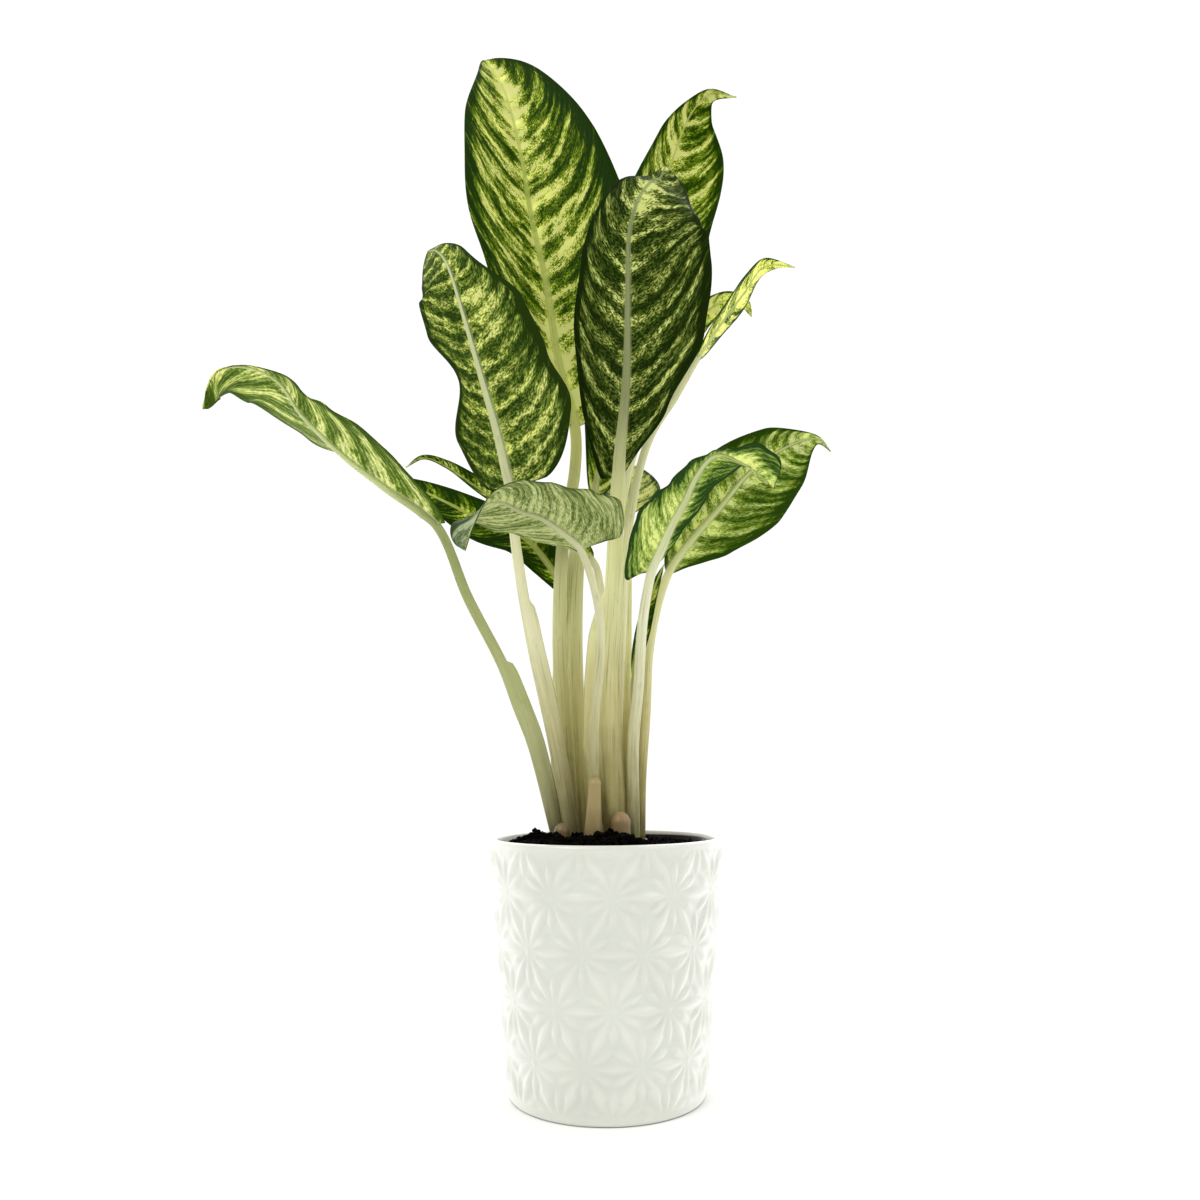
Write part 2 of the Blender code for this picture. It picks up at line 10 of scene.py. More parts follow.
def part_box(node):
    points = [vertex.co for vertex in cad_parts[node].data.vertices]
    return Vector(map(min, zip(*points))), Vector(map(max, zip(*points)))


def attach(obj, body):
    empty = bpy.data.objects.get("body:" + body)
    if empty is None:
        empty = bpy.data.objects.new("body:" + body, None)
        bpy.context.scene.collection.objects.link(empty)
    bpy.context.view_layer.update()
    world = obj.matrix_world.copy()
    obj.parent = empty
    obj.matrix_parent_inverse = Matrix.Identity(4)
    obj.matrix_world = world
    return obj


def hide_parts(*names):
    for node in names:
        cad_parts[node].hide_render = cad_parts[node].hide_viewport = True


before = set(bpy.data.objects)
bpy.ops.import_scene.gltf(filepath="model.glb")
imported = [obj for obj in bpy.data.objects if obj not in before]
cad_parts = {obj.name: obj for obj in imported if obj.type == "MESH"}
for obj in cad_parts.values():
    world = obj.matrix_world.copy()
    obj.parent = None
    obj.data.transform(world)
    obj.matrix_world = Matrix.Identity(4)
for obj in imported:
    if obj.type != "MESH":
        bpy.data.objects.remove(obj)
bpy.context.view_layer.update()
print("frame loaded")


def linear(hexColour):
    # sRGB hex to linear red, green, blue and alpha
    parts = [int(hexColour[i:i + 2], 16) / 255 for i in (1, 3, 5)]
    return [p / 12.92 if p <= 0.04045 else ((p + 0.055) / 1.055) ** 2.4 for p in parts] + [1.0]


def add(material, kind, inputs=None, out=0, stops=None, **settings):
    # adds a node: inputs, by name or number, are values or other nodes' outputs, stops a ramp's places and
    # colours, and settings its own choices
    node = material.node_tree.nodes.new("ShaderNode" + kind)
    for name, value in settings.items():
        setattr(node, name, value)
    for name, value in (inputs or {}).items():
        if isinstance(value, bpy.types.NodeSocket):
            material.node_tree.links.new(value, node.inputs[name])
        else:
            node.inputs[name].default_value = value
    for k, (place, hexColour) in enumerate((stops or {}).items()):
        element = node.color_ramp.elements[k] if k < 2 else node.color_ramp.elements.new(place)
        element.position, element.color = place, linear(hexColour)
    return node.outputs[out] if node.outputs else None


def newMaterial(name):
    material = bpy.data.materials.new(name)
    material.use_nodes = True
    material.node_tree.nodes.clear()
    return material


timesPlus = dict(operation="MULTIPLY_ADD")
softly = dict(interpolation_type="SMOOTHSTEP")
colourMix = dict(out=2, data_type="RGBA")


def opaque(material, colour, height, strength, distance, settings, over=None):
    # ends an opaque material: its colour, its relief, over another if there is one, and its shader's settings
    relief = add(material, "Bump", {"Height": height, "Strength": strength, "Distance": distance}
                 | ({"Normal": over} if over else {}))
    shader = add(material, "BsdfPrincipled", {"Base Color": colour, "Normal": relief} | settings)
    add(material, "OutputMaterial", {"Surface": shader})
    return material


def placed(name, data):
    # an object in the scene that shows the data
    made = bpy.data.objects.new(name, data)
    bpy.context.collection.objects.link(made)
    return made


def finished(name, bm, materials, smooth=True):
    # turns a bmesh into an object with its materials
    mesh = bpy.data.meshes.new(name)
    bm.to_mesh(mesh)
    bm.free()
    for material in materials:
        mesh.materials.append(material)
    if smooth:
        mesh.shade_smooth()
    return placed(name, mesh)


def piece(name, bm, materials, node, smooth=True):
    # a finished piece that rides with the plant in the place of a node
    made = finished(name, bm, materials, smooth)
    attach(made, "root")
    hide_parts(node)
    return made


def unitRows(rows):
    return rows / np.linalg.norm(rows, axis=-1, keepdims=True)


def eased(values, where):
    # evenly spaced values, eased from one to the next, read at fractions of the way
    values = np.asarray(values, float)
    if len(values) == 1:
        return np.full(where.shape, values[0])
    scaled = np.clip(where, 0, 1) * (len(values) - 1)
    index = np.minimum(scaled.astype(int), len(values) - 2)
    ease = scaled - index
    ease = ease * ease * (3 - 2 * ease)
    return values[index] * (1 - ease) + values[index + 1] * ease


routeSteps = 24  # samples between two points of a leaf's route


def smoothRoute(points):
    # a centripetal Catmull-Rom curve through the points
    knots = np.vstack([2 * points[0] - points[1], points, 2 * points[-1] - points[-2]])
    samples = []
    for i in range(1, len(knots) - 2):
        near = knots[i - 1:i + 3]
        gaps = np.linalg.norm(np.diff(near, axis=0), axis=1) ** 0.5
        times = [0.0, gaps[0], gaps[0] + gaps[1], gaps.sum()]
        t = times[1] + gaps[1] * np.arange(routeSteps)[:, None] / routeSteps
        for spans in (((0, 1), (1, 2), (2, 3)), ((0, 2), (1, 3)), ((1, 2),)):
            near = [((times[end] - t) * near[k] + (t - times[start]) * near[k + 1])
                    / (times[end] - times[start]) for k, (start, end) in enumerate(spans)]
        samples.append(near[0])
    return np.vstack(samples + [points[-1]])


def atLengths(route, fractions):
    # points at fractions of a curve's length, and the length
    length = np.concatenate([[0.0], np.cumsum(np.linalg.norm(np.diff(route, axis=0), axis=1))])
    wanted = np.asarray(fractions) * length[-1]
    return np.stack([np.interp(wanted, length, route[:, axis]) for axis in range(3)], -1), length[-1]


def carried(points, first):
    # tangents, and normals carried along a curve without twist
    tangents = unitRows(np.gradient(points, axis=0))
    normals = []
    for tangent in tangents:
        first = unitRows(first - tangent * (first @ tangent))
        normals.append(first)
    return tangents, np.array(normals)


# camera: a little below the leaves, looking slightly up
cameraSet = dict(place=(-0.0024, -0.571, 0.177), pitch=9.7, roll=0.35, lens=29.1)
cameraData = bpy.data.cameras.new("camera")
cameraData.lens = cameraSet["lens"]
cameraData.sensor_width = 36
cameraData.clip_start = 0.01
camera = placed("camera", cameraData)
camera.matrix_world = (Matrix.Translation(cameraSet["place"])
                       @ Matrix.Rotation(radians(90 + cameraSet["pitch"]), 4, "X")
                       @ Matrix.Rotation(radians(-cameraSet["roll"]), 4, "Z"))
bpy.context.scene.camera = camera

# floor, backdrop light and three softboxes: brightest behind, so the leaves glow and the pot's edges are pale
studio = dict(floor="#fbfbf9", front=0.44, back=1.22, seen=1.05)
bpy.context.scene.view_settings.view_transform = "Standard"
floorFinish = newMaterial("matteStudioFloor")
floorGrain = add(floorFinish, "TexNoise", {0: add(floorFinish, "TexCoord", out=3), "Scale": 900.0})
opaque(floorFinish, linear(studio["floor"]), floorGrain, 0.05, 0.0002,
       {"Roughness": 0.8, "Specular IOR Level": 0.2})
bm = bmesh.new()
bmesh.ops.create_grid(bm, x_segments=2, y_segments=2, size=1.4)
floor = finished("studioFloor", bm, [floorFinish], smooth=False)

world = bpy.data.worlds.new("paleStudio")
bpy.context.scene.world = world
world.use_nodes = True
towards = add(world, "SeparateXYZ", {0: add(world, "TexCoord")}, out=1)
glow = add(world, "MapRange", {0: towards, 1: -0.8, 2: 0.6, 3: studio["front"], 4: studio["back"]})
seen = add(world, "Mix", {0: add(world, "LightPath"), 2: glow, 3: studio["seen"]})
world.node_tree.links.new(seen, world.node_tree.nodes["Background"].inputs["Strength"])
world.node_tree.nodes["Background"].inputs["Color"].default_value = (1, 1, 1, 1)

softboxes = dict(  # place, height aimed at, width and height, power
    keyBox=((-1.1, -1.2, 1.9), 0.35, (1.0, 1.0), 22.0),
    fillBox=((1.5, -0.9, 1.0), 0.3, (1.2, 1.4), 9.0),
    behindBox=((0.3, 1.6, 1.3), 0.4, (1.8, 1.4), 9.0))
for boxName, (place, aim, size, power) in softboxes.items():
    data = bpy.data.lights.new(boxName, "AREA")
    data.shape = "RECTANGLE"
    data.size, data.size_y = size
    data.energy = power
    lamp = placed(boxName, data)
    lamp.location = place
    lamp.rotation_euler = (Vector((0, 0, aim)) - Vector(place)).to_track_quat("-Z", "Y").to_euler()
print("camera, floor and lights set")

# a leaf's two faces where the leaf doesn't say otherwise. colours run from dark to pale, low and high being
# the tones of the darkest and the palest. broad and fine are the bands' spacing in cm, and a share is how
# much a pattern counts. margin and lineAt, the dark edge and the pale line inside it, are in half widths.
upperFace = dict(
    colours={0: "#1f3c00", 0.25: "#385402", 0.47: "#62800e", 0.66: "#98b030", 0.84: "#dee668", 1: "#fcfca0"},
    rib={0: "#c3cc72", 0.6: "#b6c463", 1: "#e0e98c"}, ribWide=0.32, ribShow=0.85, rim="#2c4a10",
    broad=2.5, fine=0.9, broadShare=0.3, fineShare=0.15, patchShare=0.85, strokeShare=0.8, fleckShare=0.22,
    ribSpread=1.0, ribPale=0.16, margin=(0.76, 0.92), marginDark=0.32, lineAt=0.87, linePale=0.22, base=0.0,
    low=-0.25, high=0.28, veinRelief=0.5, bump=0.32, rough=0.34, glow=1.45, clear=0.34, patchesAndPaintedLight=[])
underFace = dict(
    upperFace,
    colours={0: "#182802", 0.28: "#30440c", 0.52: "#546624", 0.72: "#7c8a3e", 0.88: "#b0ba60", 1: "#dce48c"},
    rib={0: "#c8cea0", 0.5: "#9aa67a", 1: "#8b9a60"}, ribWide=0.36, rim="#1f3412", broad=2.3, broadShare=0.34,
    fineShare=0.16, patchShare=0.65, strokeShare=0.75, fleckShare=0.2, ribSpread=0.8, ribPale=0.12,
    margin=(0.82, 0.94), marginDark=0.4, lineAt=0.88, linePale=0.26, base=-0.03, high=0.31, veinRelief=-0.6,
    bump=0.35, rough=0.42, glow=1.2, clear=0.22)
# patches of 1 to 2 cm, brush strokes 3 mm wide, flecks of about 1 mm and nerves under 1 mm, all drawn out
# along the veins: where each noise starts, its scale across and along them, and its settings
veinGrains = dict(
    patch=(11.7, (0.62, 0.45, 1), dict(Detail=4.0, Roughness=0.6, Distortion=0.5)),
    stroke=(5.3, (4.6, 2.0, 1), dict(Detail=5.0, Roughness=0.72, Distortion=0.8)),
    fleck=(8.9, (11.0, 7.0, 1), dict(Detail=3.0, Roughness=0.6)),
    nerve=(1.3, (9.0, 0.5, 1), dict(Detail=2.0)))
onceACm = 2 * pi / 20  # the scale at which a wave texture repeats once in a centimetre
raggedBy = 0.16  # how far brush strokes push the margin to and fro, in half widths


def leafFinish(name, look, seed):
    # Aglaonema leaf, satin and slightly waxy: pale bands feathered along the side veins, mottled dark green
    # between them, a solid green margin and a pale midrib. It glows where it is lit from behind.
    m = newMaterial(name)
    blade = add(m, "UVMap", uv_map="blade")
    veins = add(m, "UVMap", uv_map="veins")
    along = add(m, "SeparateXYZ", {0: blade})
    edge = add(m, "Math", {0: along.node.outputs[1]}, operation="ABSOLUTE")
    outCm = add(m, "Math", {0: add(m, "SeparateXYZ", {0: veins}, out=1)}, operation="ABSOLUTE")

    # broad and fine bands along the side veins, bent and broken by noise
    bandsAt = add(m, "Mapping", {0: veins, 1: (seed * 1.7, 0, seed)})
    broad, fine = [add(m, "TexWave", {
        0: bandsAt, "Scale": onceACm / look[kind], "Distortion": bent, "Detail": detail,
        "Detail Scale": detailScale, "Detail Roughness": 0.6}, out=1)
        for kind, bent, detail, detailScale in (("broad", 5.0, 4.0, 6.0), ("fine", 3.6, 3.0, 1.6))]
    broad = add(m, "Math", {0: broad, 1: 1.5}, operation="POWER")
    grain = {}
    for kind, (start, scale, settings) in veinGrains.items():
        at = add(m, "Mapping", {0: veins, 1: (0, 0, seed + start), 3: scale})
        grain[kind] = add(m, "TexNoise", {0: at, "Scale": 1.0} | settings)
    spots = add(m, "MapRange", {0: grain["fleck"], 1: 0.44, 2: 0.56}, **softly)
    nearRib = add(m, "MapRange", {0: outCm, 1: look["ribSpread"], 2: 0.1}, **softly)

    pale = look["base"]
    patterns = dict(broadShare=broad, fineShare=fine, patchShare=grain["patch"], strokeShare=grain["stroke"],
                    fleckShare=spots)
    for share, source in (patterns | dict(ribPale=nearRib)).items():
        pale = add(m, "Math", {0: source, 1: look[share], 2: pale}, **timesPlus)
    # paler and darker patches, partly the leaf's own colour and partly painted highlight and painted shade
    for centre, middle, length, breadth, strength in look["patchesAndPaintedLight"]:
        patchLightAt = add(m, "Mapping", {0: blade, 1: (centre, middle, 0), 3: (length, breadth, 1)},
                      vector_type="TEXTURE")
        patchLight = add(m, "TexGradient", {0: patchLightAt}, out=1, gradient_type="SPHERICAL")
        pale = add(m, "Math", {0: patchLight, 1: strength, 2: pale}, **timesPlus)
    # the ragged solid margin, and the pale line inside it
    ragged = add(m, "Math", {0: grain["stroke"], 1: raggedBy, 2: edge}, **timesPlus)
    marginFrom, marginTo, lineAt = [place + raggedBy / 2 for place in (*look["margin"], look["lineAt"])]
    margin = add(m, "MapRange", {0: ragged, 1: marginFrom, 2: marginTo}, **softly)
    pale = add(m, "Math", {0: margin, 1: -look["marginDark"], 2: pale}, **timesPlus)
    offLine = add(m, "Math", {0: ragged, 1: lineAt}, operation="SUBTRACT")
    offLine = add(m, "Math", {0: offLine}, operation="ABSOLUTE")
    broken = add(m, "MapRange", {0: grain["patch"], 1: 0.44, 2: 0.56, 4: look["linePale"]})
    line = add(m, "MapRange", {0: offLine, 1: 0.02, 2: 0.0, 4: broken}, **softly)
    pale = add(m, "Math", {0: line, 1: pale}, operation="ADD")

    middleTone = 0.5 * sum(look[share] for share in patterns)
    tone = add(m, "MapRange", {0: pale, 1: middleTone + look["low"], 2: middleTone + look["high"]})
    colour = add(m, "ValToRGB", {0: tone}, stops=look["colours"])
    # the midrib shows on the blade as a pale strip, widest at the leaf's base
    ribWidth = add(m, "MapRange", {0: along, 3: look["ribWide"], 4: 0.06})
    offRib = add(m, "Math", {0: outCm, 1: ribWidth}, operation="DIVIDE")
    ribMask = add(m, "MapRange", {0: offRib, 1: 1.15, 2: 0.55, 4: look["ribShow"]}, **softly)
    ribColour = add(m, "ValToRGB", {0: along}, stops=look["rib"])
    colour = add(m, "Mix", {0: ribMask, 6: colour, 7: ribColour}, **colourMix)
    rimMask = add(m, "MapRange", {0: edge, 1: 0.975, 2: 0.995, 4: 0.25})
    colour = add(m, "Mix", {0: rimMask, 6: colour, 7: linear(look["rim"])}, **colourMix)

    # relief: side veins 8 mm apart, nerves and a slight pebble
    sideVeins = add(m, "TexWave", {0: bandsAt, "Scale": onceACm / 0.8, "Distortion": 0.6}, out=1)
    height = add(m, "Math", {0: sideVeins, 1: look["veinRelief"], 2: grain["nerve"]}, **timesPlus)
    height = add(m, "Math", {0: grain["fleck"], 1: 0.3, 2: height}, **timesPlus)
    bump = add(m, "Bump", {"Height": height, "Strength": look["bump"], "Distance": 0.0006})
    gloss = add(m, "Math", {0: grain["fleck"], 1: 0.16, 2: look["rough"]}, **timesPlus)
    skin = add(m, "BsdfPrincipled", {"Base Color": colour, "Roughness": gloss, "Normal": bump, "IOR": 1.42,
                                     "Specular IOR Level": 0.05})
    through = add(m, "HueSaturation", {"Color": colour, "Hue": 0.492, "Saturation": 1.15,
                                       "Value": look["glow"]})
    lit = add(m, "BsdfTranslucent", {"Color": through, "Normal": bump})
    add(m, "OutputMaterial", {"Surface": add(m, "MixShader", {0: look["clear"], 1: skin, 2: lit})})
    return m


# a stalk's colours from the soil up, the darker ones low down being painted shade near the soil
paleStalk = {0: "#847c54", 0.14: "#aca474", 0.34: "#d4cfa0", 0.6: "#eeecc8", 1: "#e4e4b8"}
oliveStalk = {0: "#9a9264", 0.14: "#c4bc84", 0.34: "#d2cd94", 0.6: "#dbdaa6", 1: "#ced096"}
creamStalk = {0: "#8d865c", 0.14: "#bdb788", 0.34: "#e2dfb8", 0.6: "#f6f6da", 1: "#eef0ca"}
greenStalk = {0: "#84805c", 0.14: "#adab7c", 0.35: "#c0c48c", 0.6: "#b2b87c", 1: "#98a664"}
yellowStalk = {0: "#867c4e", 0.14: "#b4aa6e", 0.34: "#d8d096", 0.6: "#ecebb8", 1: "#e2e4a8"}


def stalkFinish(name, leaf, seed):
    # leaf stalk: fleshy and smooth, cream-green, with fibres along it; it is painted darker towards the soil,
    # a painted shade
    m = newMaterial(name)
    lengthways = add(m, "UVMap", uv_map="length")
    height = add(m, "SeparateXYZ", {0: add(m, "TexCoord", out=3)}, out=2)
    # fibres 1 mm apart and several cm long, blots a few mm across, and darker threads under half a mm wide
    grain = {}
    for kind, start, scale, detail in (("fibre", (seed * 3.1, seed, 0), (0.35, 15, 1), 3),
                                       ("blot", (seed * 1.3, 0, 0), (0.7, 3, 1), 4),
                                       ("thread", (seed, 0, 2), (0.22, 42, 1), 2)):
        at = add(m, "Mapping", {0: lengthways, 1: start, 3: scale})
        grain[kind] = add(m, "TexNoise", {0: at, "Scale": 1.0, "Detail": detail})
    # painted shade: the colour is darkest at the soil and pales up the stalk
    rise = add(m, "MapRange", {0: height, 1: 0.132, 2: 0.34})
    rise = add(m, "Math", {0: grain["fibre"], 1: 0.3, 2: rise}, **timesPlus)
    rise = add(m, "Math", {0: grain["blot"], 1: 0.2, 2: rise}, **timesPlus)
    rise = add(m, "Math", {0: rise, 1: 0.25}, operation="SUBTRACT")
    colour = add(m, "ValToRGB", {0: rise}, stops=leaf["finish"])
    threads = add(m, "MapRange", {0: grain["thread"], 1: 0.56, 2: 0.7, 4: 0.55})
    along = add(m, "SeparateXYZ", {0: lengthways})
    ribFrom = leaf["midribFrom"]
    onBlade = add(m, "MapRange", {0: along, 1: ribFrom, 2: ribFrom + 7, 4: 0.9}, **softly)
    blots = add(m, "MapRange", {0: grain["blot"], 1: 0.6, 2: 0.75, 4: 0.25})
    for mask, over in ((threads, "#8c8a56"), (onBlade, leaf["midrib"]), (blots, "#5c7438")):
        colour = add(m, "Mix", {0: mask, 6: colour, 7: linear(over)}, **colourMix)
    bump = add(m, "Bump", {"Height": grain["fibre"], "Strength": 0.3, "Distance": 0.0005})
    skin = add(m, "BsdfPrincipled", {"Base Color": colour, "Normal": bump, "Roughness": 0.42, "IOR": 1.4,
                                     "Specular IOR Level": 0.3, "Subsurface Weight": 0.15,
                                     "Subsurface Scale": 0.002, "Subsurface Radius": (1.0, 1.0, 0.4)})
    lit = add(m, "BsdfTranslucent", {"Color": colour})
    add(m, "OutputMaterial", {"Surface": add(m, "MixShader", {0: 0.25, 1: skin, 2: lit})})
    return m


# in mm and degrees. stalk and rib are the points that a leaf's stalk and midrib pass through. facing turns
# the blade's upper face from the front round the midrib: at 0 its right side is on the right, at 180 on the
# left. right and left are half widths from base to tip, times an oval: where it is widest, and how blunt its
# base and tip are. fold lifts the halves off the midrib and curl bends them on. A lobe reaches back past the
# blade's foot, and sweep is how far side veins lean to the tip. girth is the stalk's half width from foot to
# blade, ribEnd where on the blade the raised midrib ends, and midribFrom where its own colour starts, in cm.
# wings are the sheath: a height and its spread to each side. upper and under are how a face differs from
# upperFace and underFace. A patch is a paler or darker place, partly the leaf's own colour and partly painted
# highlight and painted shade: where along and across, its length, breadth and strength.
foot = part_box("cane_left")[1][2] * 1000 + 0.3
plainLeaf = dict(slot="leaf_green", finish=paleStalk, facing=0, oval=(0.45, 0.6, 0.8), fold=[10], curl=[0],
                 lobeRight=0, lobeLeft=0, sweep=1.0, ribEnd=0.97, midrib="#bcc586", midribFrom=-2,
                 wings=[(0, 0, 0)], upper={}, under={})
bright = dict(base=0.05, high=0.14)
